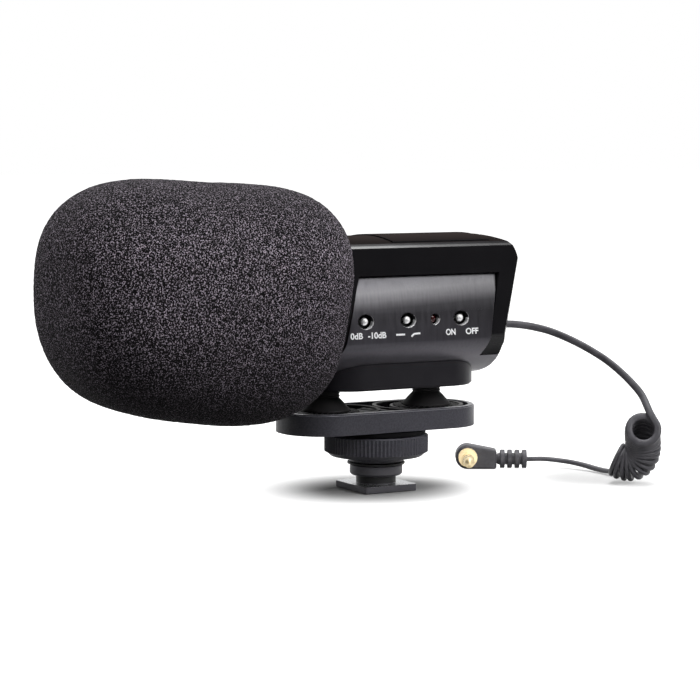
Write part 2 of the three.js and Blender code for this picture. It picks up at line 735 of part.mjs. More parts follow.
// Battery door with its hinge knuckle, and the pin that it turns on
function batteryDoor() {
  const crown = mirrored([[bodyCrownHalf, doorUnder],
    ...crownCurve(bodyCrownHalf, bodyTop + doorRaise, bodyCrownRise), [0, doorUnder]]
    .filter(([x, z], i, all) => i < all.length - 1 || x > 0));
  const plate = solid(prismY(crown, doorFront, doorRear)).intersect(solid(block(
    [-doorHalf, doorHalf], [doorFront, doorRear], [doorUnder, bodyTop + overrun])));
  const tongue = solid(block([-hingeBarrelHalf, hingeBarrelHalf], [doorRear - overrun, hingeAlong],
    [doorUnder, doorUnder + tongueDrop]));
  const barrel = solid(rod(hingeBarrelRadius, -hingeBarrelHalf, hingeBarrelHalf, 16)
    .rotateY(Math.PI / 2).translate(0, hingeAlong, hingeHeight));
  const bore = solid(rod(hingePinRadius + gap, -hingeBarrelHalf - overrun,
    hingeBarrelHalf + overrun, 12).rotateY(Math.PI / 2).translate(0, hingeAlong, hingeHeight));
  piece('battery_door', plate.add(tongue).add(barrel).subtract(bore), glossBlack);
  piece('door_pin', rod(hingePinRadius, -hingePinHalf, hingePinHalf, 12)
    .rotateY(Math.PI / 2).translate(0, hingeAlong, hingeHeight), plainSteel);
}

// Two cells side by side in a cradle, between their contact plates
function battery() {
  const across = cellRadius + cellSpread;
  const cellFront = cellRear - cellLength;
  [['left', -across, 1], ['right', across, -1]].forEach(([side, x, way]) => {
    const middle = cellLength / 2 - cellNippleLength;
    const cell = lathe([
      [0, -middle - cellNippleLength], [cellRadius, -middle - cellNippleLength],
      [cellRadius, middle], [cellNippleRadius, middle],
      [cellNippleRadius, middle + cellNippleLength], [0, middle + cellNippleLength],
    ], 20).rotateX(-way * Math.PI / 2);
    piece(`battery_cell_${side}`, cell, cellSleeve).position
      .set(x, cellRear - cellLength / 2, cellAxisHeight);
  });
  const wide = across + cellRadius + gap;
  const under = cradleBottom + cradleThickness;
  const cradle = solid(block([-wide - cradleThickness, wide + cradleThickness],
    [cellFront - gap * 2 - contactThickness, cellRear + gap * 2 + contactThickness],
    [cradleBottom, under + cradleWallRise]));
  const space = solid(block([-wide, wide],
    [cellFront - gap * 2 - contactThickness - overrun, cellRear + gap * 2 + contactThickness + overrun],
    [under, under + cradleWallRise + overrun]));
  piece('battery_cradle', cradle.subtract(space), satinBlack);
  const contact = (name, low) => piece(name, block([-wide + gap, wide - gap],
    [low, low + contactThickness], [under + gap, under + gap + contactHeight]), plainSteel);
  contact('battery_contact_front', cellFront - gap - contactThickness);
  contact('battery_contact_rear', cellRear + gap);
}

// Circuit board with its two screws
function circuitBoard() {
  let board = solid(block([boardFar, boardNear], [boardFront, boardRear], [boardBottom, boardTop]));
  [['front', boardFront + ribHalf * 2], ['rear', boardRear - ribHalf * 2]].forEach(([side, along]) => {
    const height = boardBottom + ribHalf;
    const hole = rod(boardScrewRadius + gap, boardFar - overrun, boardNear + overrun, 12);
    board = board.subtract(solid(hole.rotateY(Math.PI / 2).translate(0, along, height)));
    const low = boardFar - boardScrewLength + gap * 2;
    piece(`board_screw_${side}`, lathe([
      [0, low], [boardScrewRadius, low], [boardScrewRadius, boardNear + gap],
      [boardScrewHead, boardNear + gap], [boardScrewHead, boardNear + gap + boardScrewHeadHeight],
      [0, boardNear + gap + boardScrewHeadHeight],
    ], 12).rotateY(Math.PI / 2), plainSteel).position.set(0, along, height);
  });
  piece('circuit_board', board, boardGreen);
}

// One two-way switch: a body on the board and a ball lever thrown forward in its slot
function toggle(name, along) {
  const near = boardNear + gap;
  const far = near + switchDepth;
  const pivot = near + leverPivotDepth;
  const body = solid(block([near, far], [along - switchLength / 2, along + switchLength / 2],
    [switchHeight - switchTall / 2, switchHeight + switchTall / 2]));
  const slot = solid(block([near + gap, far + overrun], [along - slotLength / 2, along + slotLength / 2],
    [switchHeight - slotTall / 2, switchHeight + slotTall / 2]));
  piece(`switch_body_${name}`, body.subtract(slot), satinBlack);
  const barrel = solid(rod(leverPivotRadius, -leverPivotTall / 2, leverPivotTall / 2, 10));
  const stem = solid(rod(leverStemRadius, 0, leverReach, 8).rotateY(Math.PI / 2));
  const ball = solid(new THREE.SphereGeometry(leverBallRadius, 12, 8).translate(leverReach, 0, 0));
  const lever = piece(`switch_lever_${name}`, barrel.add(stem).add(ball), chromeBall);
  lever.position.set(pivot, along + leverSetback, switchHeight);
  lever.rotation.z = THREE.MathUtils.degToRad(-leverThrow);
}

// Power light: a round red lens that stands on the board
function powerLight() {
  const near = boardNear + gap;
  const far = near + lightReach;
  piece('power_light', lathe([
    [0, near], [lightRadius, near], [lightRadius, far - lightRadius / 2],
    [lightRadius / 1.5, far - lightRadius / 8], [0, far],
  ], 14).rotateY(Math.PI / 2), redLens).position.set(0, lightAlong, switchHeight);
}

// Collar that closes the body's front and carries the basket and the capsule bracket
function headCollar() {
  const rear = bodyFront - gap;
  const front = rear - collarThickness;
  const plate = solid(prismY(roundedRectangle(collarHalfWidth, collarHalfHeight, collarCorner,
    headHeight), front, rear, 4));
  const bore = solid(rod(collarBore, front - overrun, rear + overrun)
    .rotateX(-Math.PI / 2).translate(0, 0, headHeight));
  piece('head_collar', plate.subtract(bore), satinBlack);
}

// Basket's outer form, grown by an offset: a rounded section with its front edges rounded over
function basketForm(grow) {
  const back = basketRear + basketRound;
  const halfLength = (back - basketFront + grow) / 2;
  const middle = (back + basketFront - grow) / 2;
  const halfWidth = basketHalfWidth + grow;
  const halfHeight = basketHalfHeight + grow;
  const along = solid(prismY(roundedRectangle(halfWidth, halfHeight, basketCorner + grow, headHeight),
    basketFront - grow, back, 4));
  const plan = solid(prismZ(roundedRectangle(halfWidth, halfLength, basketRound, middle),
    headHeight - halfHeight, headHeight + halfHeight, 5));
  const side = solid(prismX(roundedRectangle(halfLength, halfHeight, basketRound, headHeight),
    -halfWidth, halfWidth, 5).translate(0, middle, 0));
  return along.intersect(plan).intersect(side);
}

// Basket: a slotted cage round the capsules, open at the back
function headBasket() {
  const halfWidth = basketHalfWidth;
  const front = basketFront;
  const kept = solid(block([-halfWidth - overrun, halfWidth + overrun],
    [front - overrun, basketRear], [0, headHeight + foamHalfHeight]));
  let cage = basketForm(0).intersect(kept).subtract(basketForm(-basketWall));
  const pitch = (basketHalfHeight * 2 - basketEdge) / basketBars;
  const slotHalf = (pitch - basketBarWidth) / 2;
  const low = front + basketBand;
  for (let i = 0; i < basketBars; i += 1) {
    const z = headHeight + (i - (basketBars - 1) / 2) * pitch;
    cage = cage.subtract(solid(block([-halfWidth - overrun, halfWidth + overrun],
      [low, basketRear - basketBand], [z - slotHalf, z + slotHalf])));
  }
  const across = halfWidth * 2 / (basketBars + 1);
  for (let i = 1; i < basketBars; i += 1) {
    const x = -halfWidth + (i + 1 / 2) * across;
    const half = (across - basketBarWidth) / 2;
    cage = cage.subtract(solid(block([x - half, x + half], [front - overrun, low - overrun],
      [headHeight - basketEdge, headHeight + basketEdge])));
  }
  piece('head_basket', cage, satinBlack);
}

// Crossed pair of capsules, one above the other, each in a rubber boot on the bracket
function capsules() {
  const front = bracketRear - bracketThickness;
  const plate = solid(block([-bracketHalfWidth, bracketHalfWidth], [front, bracketRear],
    [headHeight - capsuleRise - capsuleRadius, headHeight + capsuleRise + capsuleRadius]));
  const stalk = solid(rod(bracketStalkRadius, bracketRear - bracketThickness / 2,
    bodyFront - collarThickness - gap * 2, 16).rotateX(-Math.PI / 2).translate(0, 0, headHeight));
  piece('capsule_bracket', plate.add(stalk), satinBlack);
  const bootInner = capsuleRadius + gap;
  const bootOuter = bootInner + sleeveWall;
  const tilt = THREE.MathUtils.degToRad(capsuleAngle);
  const reach = (capsuleLength / 2) * Math.cos(tilt) + capsuleRadius * Math.sin(tilt);
  [['left', capsuleRise, -1], ['right', -capsuleRise, 1]].forEach(([side, rise, way]) => {
    const pair = new THREE.Group();
    pair.position.set(0, front - gap - reach, headHeight + rise);
    pair.rotation.z = way * tilt;
    microphone.add(pair);
    piece(`capsule_${side}`, rod(capsuleRadius, -capsuleLength / 2, capsuleLength / 2, 24)
      .rotateX(-Math.PI / 2), plainSteel, pair);
    piece(`capsule_boot_${side}`, tubeRing(bootInner, bootOuter, -bootLength / 2, bootLength / 2, 24)
      .rotateX(-Math.PI / 2), blackRubber, pair);
  });
}

// The soft block's outline, an ellipsoid pressed out towards a box, drawn in by an even margin
function foamForm(margin, around, steps) {
  const ball = new THREE.SphereGeometry(1, around, steps).rotateX(Math.PI / 2);
  const place = ball.attributes.position;
  const power = (value, exponent) => Math.sign(value) * Math.abs(value) ** exponent;
  for (let i = 0; i < place.count; i += 1) {
    const point = new THREE.Vector3().fromBufferAttribute(place, i);
    const turn = Math.atan2(point.y, point.x);
    const lean = Math.asin(THREE.MathUtils.clamp(point.z, -1, 1));
    const girth = power(Math.cos(lean), 2 / foamProfilePower);
    place.setXYZ(i,
      (foamHalfWidth - margin) * power(Math.cos(turn), 2 / foamSectionPower) * girth,
      (margin - foamHalfLength) * power(Math.sin(lean), 2 / foamProfilePower),
      (foamHalfHeight - margin) * power(Math.sin(turn), 2 / foamSectionPower) * girth);
  }
  return solid(ball.translate(0, foamAlong, headHeight));
}

// Foam windscreen: a soft rounded block, hollow round the basket and open at the back
function foamWindscreen() {
  const seat = solid(prismY(roundedRectangle(collarHalfWidth + gap, collarHalfHeight + gap,
    collarCorner + gap, headHeight), basketRear - gap, bodyFront, 4));
  const mouth = solid(prismY(frameSection(foamMouthGap), bodyFront - gap, bodyRearHigh))
    .add(solid(prismY(panelSection(foamMouthGap), bodyFront - gap, bodyRearHigh)));
  const hollow = foamForm(foamWall, hollowAround, hollowSteps);
  piece('foam_windscreen', foamForm(0, foamAround, foamAlongSteps).subtract(hollow)
    .subtract(basketForm(gap)).subtract(seat).subtract(mouth).subtract(saddleForm(foamMouthGap)), foamCloth);
}

// Rubber gland in the back wall, where the lead comes out
function cordGland() {
  const wall = rearAt(glandHeight);
  const tip = wall + glandLength;
  const seat = wall + gap + glandFlangeRadius * rearSlope;
  piece('cord_gland', lathe([
    [0, wall - shellWall * 2], [glandRadius, wall - shellWall * 2], [glandRadius, seat],
    [glandFlangeRadius, seat], [glandFlangeRadius, seat + glandFlangeThickness],
    [glandRadius, seat + glandFlangeThickness], [glandTipRadius, tip], [0, tip],
  ], 16).rotateX(-Math.PI / 2), blackRubber).position.z = glandHeight;
  return tip;
}

// Places that the free lead runs through, in the object's frame
const leadRoute = [
  [0, 46, 48.3], [0.1, 50, 48.1], [0.5, 54.5, 47.4], [1.5, 58.2, 46.4], [3.2, 61, 45.2],
  [6.2, 64, 43.6], [9.7, 66.7, 41.6], [13.6, 69.2, 39], [18, 71.6, 36.1], [22.4, 73.4, 32.9],
  [26.6, 74.8, 29.6], [30.4, 75.6, 26.3],
];
const tailRoute = [
  [18.2, 77.9, 2.6], [14.6, 78.9, 1.6], [9.6, 79.3, 1.25], [4.4, 79.2, 1.2], [-0.8, 78.4, 1.2],
  [-5.6, 76.6, 1.2], [-9.6, 73.6, 1.4], [-12, 70.3, 1.9],
];
// Start, two handles and end of the bend that the middle of the curls follows
const curlAxis = [[37.1, 73, 17.8], [27, 79.1, 1.5], [35.9, 80.1, 7.3], [25.4, 71.6, 6.5]];

const vectors = (list) => list.map(([x, y, z]) => new THREE.Vector3(x, y, z));

// The curls: one unbroken oval tube wound round a bent axis, with a straight run at each end
function curlFrames() {
  const axis = new THREE.CubicBezierCurve3(...vectors(curlAxis));
  const count = curlCount * curlSteps;
  const centres = [];
  const rights = [];
  const side = plugWay.clone();
  for (let i = 0; i <= count; i += 1) {
    const way = axis.getTangentAt(i / count);
    side.projectOnPlane(way).normalize();
    const rise = side.clone().cross(way);
    const turn = THREE.MathUtils.degToRad(curlStart) - (Math.PI * 2 * i) / curlSteps;
    const out = side.clone().multiplyScalar(Math.cos(turn)).addScaledVector(rise, Math.sin(turn));
    centres.push(axis.getPointAt(i / count).addScaledVector(out, curlRadius));
    rights.push(out);
  }
  const startWay = centres[1].clone().sub(centres[0]).projectOnPlane(rights[0]).normalize();
  const endWay = centres[count].clone().sub(centres[count - 1]).projectOnPlane(rights[count])
    .normalize();
  centres.unshift(centres[0].clone().addScaledVector(startWay, -cordWidth));
  rights.unshift(rights[0].clone());
  centres.push(centres[count + 1].clone().addScaledVector(endWay, cordWidth));
  rights.push(rights[count + 1].clone());
  return { centres, rights, startWay, endWay };
}

function ovalTube(centres, rights) {
  const positions = [];
  const index = [];
  const last = centres.length - 1;
  centres.forEach((centre, i) => {
    const way = centres[Math.min(i + 1, last)].clone().sub(centres[Math.max(i - 1, 0)]).normalize();
    const right = rights[i].clone().projectOnPlane(way).normalize();
    const up = way.clone().cross(right);
    for (let k = 0; k < curlSides; k += 1) {
      const turn = (Math.PI * 2 * k) / curlSides;
      const point = centre.clone().addScaledVector(right, (cordWidth / 2) * Math.cos(turn))
        .addScaledVector(up, (cordThickness / 2) * Math.sin(turn));
      positions.push(point.x, point.y, point.z);
    }
  });
  for (let i = 0; i < last; i += 1) {
    for (let k = 0; k < curlSides; k += 1) {
      const a = i * curlSides + k;
      const b = i * curlSides + ((k + 1) % curlSides);
      index.push(a, b, a + curlSides, b, b + curlSides, a + curlSides);
    }
  }
  for (let k = 1; k < curlSides - 1; k += 1) {
    index.push(0, k + 1, k);
    index.push(last * curlSides, last * curlSides + k, last * curlSides + k + 1);
  }
  const tube = new THREE.BufferGeometry();
  tube.setAttribute('position', new THREE.Float32BufferAttribute(positions, 3));
  tube.setIndex(index);
  return tube;
}

// Least distance between rings of points at least most of a curl apart along the tube
function leastGap(tube) {
  const place = tube.attributes.position;
  const rings = place.count / curlSides;
  const apart = curlSteps - 2;
  const first = new THREE.Vector3();
  const second = new THREE.Vector3();
  let least = Infinity;
  for (let a = 0; a < rings * curlSides; a += 1) {
    first.fromBufferAttribute(place, a);
    for (let b = (Math.floor(a / curlSides) + apart) * curlSides; b < rings * curlSides; b += 1) {
      least = Math.min(least, first.distanceTo(second.fromBufferAttribute(place, b)));
    }
  }
  return least;
}

function cordRun(name, points) {
  const path = new THREE.CatmullRomCurve3(points, false, 'centripetal');
  const section = new THREE.Shape();
  section.absellipse(0, 0, cordThickness / 2, cordWidth / 2, 0, Math.PI * 2);
  const steps = Math.ceil(path.getLength() / (cordWidth * 2));
  const run = new THREE.ExtrudeGeometry(section, {
    steps, bevelEnabled: false, extrudePath: path, curveSegments: cordSides / 2,
  });
  piece(name, run, greyCord);
  return path.getLength();
}

function cord(exit) {
  const { centres, rights, startWay, endWay } = curlFrames();
  const curls = ovalTube(centres, rights);
  piece('cord_coil', curls, greyCord);
  const leadEnd = centres[0].clone().addScaledVector(startWay, -gap);
  const tailStart = centres[centres.length - 1].clone().addScaledVector(endWay, gap);
  const lead = cordRun('cord_lead', [
    new THREE.Vector3(0, exit + gap, glandHeight), ...vectors(leadRoute),
    leadEnd.clone().addScaledVector(startWay, -cordWidth * 1.5), leadEnd,
  ]);
  const tail = cordRun('cord_tail', [
    tailStart, tailStart.clone().addScaledVector(endWay, cordWidth), ...vectors(tailRoute),
    reliefEnd.clone().addScaledVector(reliefWay, cordWidth), reliefEnd,
  ]);
  let wound = 0;
  for (let i = 1; i < centres.length; i += 1) wound += centres[i].distanceTo(centres[i - 1]);
  console.log(`least gap of the curls to themselves: ${leastGap(curls).toFixed(2)} mm`);
  console.log(`cord: lead ${lead.toFixed(1)} mm, curls ${wound.toFixed(1)} mm, tail ${tail.toFixed(1)} mm`);
}

// Angled plug on the floor: moulded head, ringed relief and the gold jack
const plugPlace = new THREE.Vector3(-21.9, 47.4, plugHeadRadius + gap / 6);
const plugWay = new THREE.Vector3(1, 0, 0)
  .applyAxisAngle(new THREE.Vector3(0, 0, 1), THREE.MathUtils.degToRad(plugTurn));
const reliefStart = plugBodyLength + gap;
const reliefLength = reliefRings * (reliefRingLength + reliefNeckLength);
const reliefDrop = plugHeadRadius - plugBodyHalfEnd - gap / 6;
const reliefWay = plugWay;
const reliefEnd = plugPlace.clone().addScaledVector(plugWay, reliefStart + reliefLength + gap);
reliefEnd.z -= reliefDrop;

function plug() {
  const group = new THREE.Group();
  group.position.copy(plugPlace);
  group.rotation.z = THREE.MathUtils.degToRad(plugTurn);
  microphone.add(group);
  const outline = new THREE.Shape();
  outline.absarc(0, 0, plugHeadRadius, Math.PI / 2, -Math.PI / 2);
  outline.lineTo(plugBodyLength, -reliefDrop - plugBodyHalfEnd);
  outline.lineTo(plugBodyLength, -reliefDrop + plugBodyHalfEnd);
  outline.closePath();
  const body = prismY(outline, -plugHalfThickness, plugHalfThickness, 12);
  piece('plug_housing', body, greyCord, group);
  const rings = [[0, 0], [reliefCoreRadius, 0]];
  for (let i = 0; i < reliefRings; i += 1) {
    const low = reliefNeckLength + i * (reliefRingLength + reliefNeckLength);
    rings.push([reliefCoreRadius, low], [reliefRadius, low], [reliefRadius, low + reliefRingLength]);
    rings.push([reliefCoreRadius, low + reliefRingLength]);
  }
  rings.push([0, reliefLength]);
  piece('plug_strain_relief', lathe(rings, 12).rotateY(Math.PI / 2), greyCord, group)
    .position.set(reliefStart, 0, -reliefDrop);
  let front = plugHalfThickness + gap;
  const turned = (name, radius, length, material) => {
    piece(name, rod(radius, front, front + length, 16).rotateX(Math.PI / 2), material, group);
    front += length + gap;
  };
  turned('jack_collar', jackCollarRadius, jackCollarLength, goldPlate);
  turned('jack_sleeve', jackRadius, jackSleeveLength, goldPlate);
  turned('jack_insulator_rear', jackRadius, jackInsulator, satinBlack);
  turned('jack_ring', jackRadius, jackRingLength, goldPlate);
  turned('jack_insulator_front', jackRadius, jackInsulator, satinBlack);
  piece('jack_tip', lathe([
    [0, front], [jackRadius, front], [jackRadius, front + jackTipLength / 4],
    [jackTipNeck, front + jackTipLength / 2], [jackRadius * 0.9, front + jackTipLength * 0.7],
    [jackTipNeck / 3, front + jackTipLength], [0, front + jackTipLength],
  ], 16).rotateX(Math.PI / 2), goldPlate, group);
}

shoeFoot();
clamp();
lockRing();
trayStack();
suspension('front', -mountSpacing / 2);
suspension('rear', mountSpacing / 2);
saddle();
tieScrews();
lowerShell();
upperShell();
batteryDoor();
battery();
circuitBoard();
for (const [name, along] of Object.entries(switchPlaces)) toggle(name, along);
powerLight();
headCollar();
headBasket();
capsules();
foamWindscreen();
cord(cordGland());
plug();

export default microphone;
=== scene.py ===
import math

import bmesh
import bpy
from mathutils import Matrix, Vector, noise


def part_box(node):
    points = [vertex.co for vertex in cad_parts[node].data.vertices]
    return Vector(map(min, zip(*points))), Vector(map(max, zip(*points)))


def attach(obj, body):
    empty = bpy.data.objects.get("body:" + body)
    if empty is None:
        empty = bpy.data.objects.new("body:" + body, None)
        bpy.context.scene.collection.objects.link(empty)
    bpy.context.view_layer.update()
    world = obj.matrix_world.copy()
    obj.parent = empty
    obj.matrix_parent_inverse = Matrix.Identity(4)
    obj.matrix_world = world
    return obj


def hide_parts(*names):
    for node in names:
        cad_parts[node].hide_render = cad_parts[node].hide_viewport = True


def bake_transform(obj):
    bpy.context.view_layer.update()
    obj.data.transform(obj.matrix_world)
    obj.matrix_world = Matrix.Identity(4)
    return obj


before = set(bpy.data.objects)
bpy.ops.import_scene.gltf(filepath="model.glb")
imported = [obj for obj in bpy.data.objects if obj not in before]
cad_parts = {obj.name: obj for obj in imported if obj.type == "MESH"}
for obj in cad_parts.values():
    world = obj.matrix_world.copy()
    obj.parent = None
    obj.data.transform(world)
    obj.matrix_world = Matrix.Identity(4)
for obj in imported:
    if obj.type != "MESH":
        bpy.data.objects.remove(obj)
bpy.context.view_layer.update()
scene = bpy.context.scene
scene.view_settings.view_transform = "Standard"

# Camera: a long lens, low on the switch side and ahead of the body, where the photograph was
# taken. It stands 0.717 m from a point 40 mm over the foot and is turned a hair to the side.
azimuth, elevation, roll = math.radians(59.125), math.radians(5.628), math.radians(0.306)
turned_aside, turned_up = math.radians(-0.643), math.radians(0.172)
camera_distance, watched_height = 0.71743, 0.04
lens_length, film_width = 121.86, 36
back = Vector((math.sin(azimuth) * math.cos(elevation), -math.cos(azimuth) * math.cos(elevation),
               math.sin(elevation)))
right = Vector((math.cos(azimuth), math.sin(azimuth), 0))
upward = back.cross(right)
ahead = (-back + right * math.tan(turned_aside) + upward * math.tan(turned_up)).normalized()
right = ahead.cross(upward).normalized()
upward = right.cross(ahead)
lens_right = right * math.cos(roll) + upward * math.sin(roll)
lens_up = upward * math.cos(roll) - right * math.sin(roll)
camera = bpy.data.objects.new("camera", bpy.data.cameras.new("camera"))
scene.collection.objects.link(camera)
camera.data.lens = lens_length
camera.data.sensor_width = film_width
camera.matrix_world = Matrix.Translation(
    Vector((0, 0, watched_height)) + back * camera_distance) @ Matrix(
    (lens_right, lens_up, -ahead)).transposed().to_4x4()
scene.camera = camera

# Floor and light: a pale sweep that shows white, with a painted soft shadow under foot and curls
# made by dimming its glow there, three softboxes (overhead, switch side, front) and a snoot on
# the plug. Polished faces see the white beyond the object, and a dim studio on the camera's side of
# it.
beyond = (ahead.x, ahead.y, 0)
floor_size, floor_drop, floor_seen, floor_lit, studio_lit = 8, 0.0002, 0.44, 0.08, 0.22
# each fade: how far behind the object it starts and ends, and its value there
floor_mirrored, floor_glow = (-0.18, 0.04, 0.1, 0.93), (0.05, 0.4, 0, 0.9)
sky_mirrored = (-0.1, 0.6, 0.1, 1)
# each painted shadow: its middle, where it is full, where it is gone, the glow left inside
painted_shadows = (((0, 0, 0), 0.014, 0.041, 0), ((0.014, 0.072, 0), 0.008, 0.036, 0.35))


def shader_of(material):
    return material.node_tree.nodes["Principled BSDF"]


def finish_material(name, colour, roughness, metallic=0.0, specular=0.5, coat=0.0):
    """A plain surface, with its fixed numbers on the shader's own sockets."""
    material = bpy.data.materials.new(name)
    material.use_nodes = True
    sockets = shader_of(material).inputs
    sockets["Base Color"].default_value = (*colour, 1)
    sockets["Roughness"].default_value = roughness
    sockets["Metallic"].default_value = metallic
    sockets["Specular IOR Level"].default_value = specular
    sockets["Coat Weight"].default_value = coat
    return material


def mapped(tree, value, start, end, low, high, run="SMOOTHSTEP"):
    """A value that runs from low to high while its source runs from start to end."""
    spread = tree.nodes.new("ShaderNodeMapRange")
    spread.interpolation_type = run
    for socket, number in (("From Min", start), ("From Max", end),
                           ("To Min", low), ("To Max", high)):
        spread.inputs[socket].default_value = number
    tree.links.new(value, spread.inputs["Value"])
    return spread.outputs["Result"]


def measured_along(tree, source, direction):
    """How far a place lies, or a direction points, along a given direction."""
    toward = tree.nodes.new("ShaderNodeVectorMath")
    toward.operation = "DOT_PRODUCT"
    toward.inputs[1].default_value = direction
    tree.links.new(source, toward.inputs[0])
    return toward.outputs["Value"]


def by_ray(tree, seen, mirrored, lit):
    """One value where the camera looks, one in mirrors and glass, one for soft light."""
    path = tree.nodes.new("ShaderNodeLightPath")
    sharp = tree.nodes.new("ShaderNodeMath")
    sharp.operation = "MAXIMUM"
    tree.links.new(path.outputs["Is Glossy Ray"], sharp.inputs[0])
    tree.links.new(path.outputs["Is Transmission Ray"], sharp.inputs[1])
    result = lit
    for factor, value in ((sharp.outputs[0], mirrored), (path.outputs["Is Camera Ray"], seen)):
        mix = tree.nodes.new("ShaderNodeMix")
        tree.links.new(factor, mix.inputs["Factor"])
        for socket, source in (("A", result), ("B", value)):
            if isinstance(source, (int, float)):
                mix.inputs[socket].default_value = source
            else:
                tree.links.new(source, mix.inputs[socket])
        result = mix.outputs["Result"]
    return result


bpy.ops.mesh.primitive_plane_add(size=floor_size, location=(0, 0, -floor_drop))
floor = bpy.context.object
floor.name = "floor"
pale_floor = finish_material("pale_floor", (0.8, 0.8, 0.8), 0.9, specular=0)
tree, sockets = pale_floor.node_tree, shader_of(pale_floor).inputs
place = tree.nodes.new("ShaderNodeTexCoord").outputs["Object"]
# painted shadow: the floor's glow is taken away near the foot and near the plug and curls
shadow = tree.nodes.new("ShaderNodeMath")
shadow.operation = "MINIMUM"
for i, (middle, full, gone, left_over) in enumerate(painted_shadows):
    away = tree.nodes.new("ShaderNodeVectorMath")
    away.operation = "DISTANCE"
    away.inputs[1].default_value = middle
    tree.links.new(place, away.inputs[0])
    tree.links.new(mapped(tree, away.outputs["Value"], full, gone, left_over, 1),
                   shadow.inputs[i])
depth = measured_along(tree, place, beyond)
shade = by_ray(tree, floor_seen, mapped(tree, depth, *floor_mirrored), floor_lit)
tone = tree.nodes.new("ShaderNodeCombineColor")
for channel in ("Red", "Green", "Blue"):
    tree.links.new(shade, tone.inputs[channel])
tree.links.new(tone.outputs["Color"], sockets["Base Color"])
sockets["Emission Color"].default_value = (1, 1, 1, 1)
glow = by_ray(tree, shadow.outputs[0], mapped(tree, depth, *floor_glow), 0)
tree.links.new(glow, sockets["Emission Strength"])
floor.data.materials.append(pale_floor)

world = bpy.data.worlds.new("studio")
scene.world = world
world.use_nodes = True
tree = world.node_tree
way = tree.nodes.new("ShaderNodeTexCoord").outputs["Generated"]
sky = mapped(tree, measured_along(tree, way, beyond), *sky_mirrored)
tree.nodes["Background"].inputs["Color"].default_value = (1, 1, 1, 1)
tree.links.new(by_ray(tree, 1, sky, studio_lit), tree.nodes["Background"].inputs["Strength"])


def lamp(name, kind, place, target, power):
    """A lamp at a place, aimed at a target; what it gives back takes its other settings."""
    light = bpy.data.objects.new(name, bpy.data.lights.new(name, kind))
    scene.collection.objects.link(light)
    light.data.energy = power
    light.location = place
    light.rotation_mode = "QUATERNION"
    light.rotation_quaternion = (Vector(target) - Vector(place)).to_track_quat("-Z", "Y")
    return light.data


for name, place, target, size, power in (
        ("top_softbox", (0.05, 0.05, 1.1), (0, -0.02, 0.05), (0.9, 0.8), 13),
        ("side_softbox", (0.9, 0.5, 0.58), (0, 0, 0.06), (0.7, 0.36), 7),
        ("front_softbox", (0.5, -0.95, 0.55), (0, -0.05, 0.05), (0.4, 0.4), 1.6)):
    softbox = lamp(name, "AREA", place, target, power)
    softbox.shape = "RECTANGLE"
    softbox.size, softbox.size_y = size
snoot = lamp("snoot", "SPOT", (0.37, -0.16, 0.07), (-0.018, 0.054, 0.005), 2.6)
snoot.spot_size, snoot.spot_blend = math.radians(8), 0.5
snoot.shadow_soft_size = 0.03

# Lead: a flat grey rubber cord that leaves the back, drops to a tight curl on the floor and
# runs on along it to the plug. The curls are one helix round a bent line and touch each other.
cord_wide, cord_thick = 0.0023, 0.0015
cord_exit = Vector((0, 0.0434, 0.0483))
lead_route = [Vector(point) / 1000 for point in (
    (0, 46, 48.3), (0.1, 50, 48.1), (0.5, 54.5, 47.5), (1.5, 58.3, 46.7), (3.3, 61.2, 45.8),
    (6.3, 64.2, 44.3), (9.9, 67.1, 42.4), (14, 69.8, 40.1), (18.5, 72.4, 37.3), (23, 74.4, 34.1),
    (27.3, 75.9, 30.7), (31.1, 76.8, 27.3))]
tail_route = [Vector(point) / 1000 for point in (
    (18.2, 77.9, 2.6), (14.6, 78.9, 1.4), (9.6, 79.3, 0.95), (4.4, 79.2, 1), (-0.8, 78.4, 1.5),
    (-5.6, 76.6, 2), (-9.6, 73.6, 2.4), (-12, 70.3, 2.7))]
plug_way, cord_seated = Vector((0.515, 0.857, 0)), 0.0015
plug_end = Vector((-0.01171, 0.06437, 0.00312)) - plug_way * cord_seated
curl_start = Vector((0.0371, 0.073, 0.0178))
# the photograph's left, and straight away from it; the bent line is given in millimetres
leftward, rearward = Vector((-0.515, -0.857, 0)), Vector((-0.853, 0.512, 0))
up = Vector((0, 0, 1))
curl_line = [curl_start + (leftward * left + rearward * behind - up * down) / 1000
             for left, behind, down in (
                 (0, 0, 0), (0, 2.4, 1.2), (-0.3, 4.4, 3.4), (-0.6, 5.6, 6.4), (0, 6.4, 9.4),
                 (2, 7.2, 11.4), (4.8, 8, 11.6), (7.2, 8.8, 10.6))]
curl_radius, curl_turns, steps_a_turn, first_turn = 0.0044, 16.75, 24, math.radians(35)
run_into_curls, run_out_of_curls, run_into_plug = 0.0035, 0.003, 0.0025
lead_steps, tail_steps = 70, 60
# the cord's broad side turns from upright to the helix, and after it lies flat again
lead_flat_until, lead_twist_steps, tail_twist_steps = 45, 24, 14


def along_curve(points, count, fine_steps=40):
    """Evenly spaced points on a smooth curve through the given ones."""
    padded = [points[0] * 2 - points[1], *points, points[-1] * 2 - points[-2]]
    fine = []
    for a, b, c, d in zip(padded, padded[1:], padded[2:], padded[3:]):
        for step in range(fine_steps):
            t = step / fine_steps
            fine.append((b * 2 + (c - a) * t + (a * 2 - b * 5 + c * 4 - d) * t ** 2
                         + (b * 3 - a - c * 3 + d) * t ** 3) / 2)
    fine.append(points[-1])
    lengths = [0]
    for a, b in zip(fine, fine[1:]):
        lengths.append(lengths[-1] + (b - a).length)
    spaced, at = [], 0
    for i in range(count + 1):
        goal = lengths[-1] * i / count
        while at < len(fine) - 2 and lengths[at + 1] < goal:
            at += 1
        share = (goal - lengths[at]) / max(lengths[at + 1] - lengths[at], 1e-12)
        spaced.append(fine[at].lerp(fine[at + 1], min(1, share)))
    return spaced


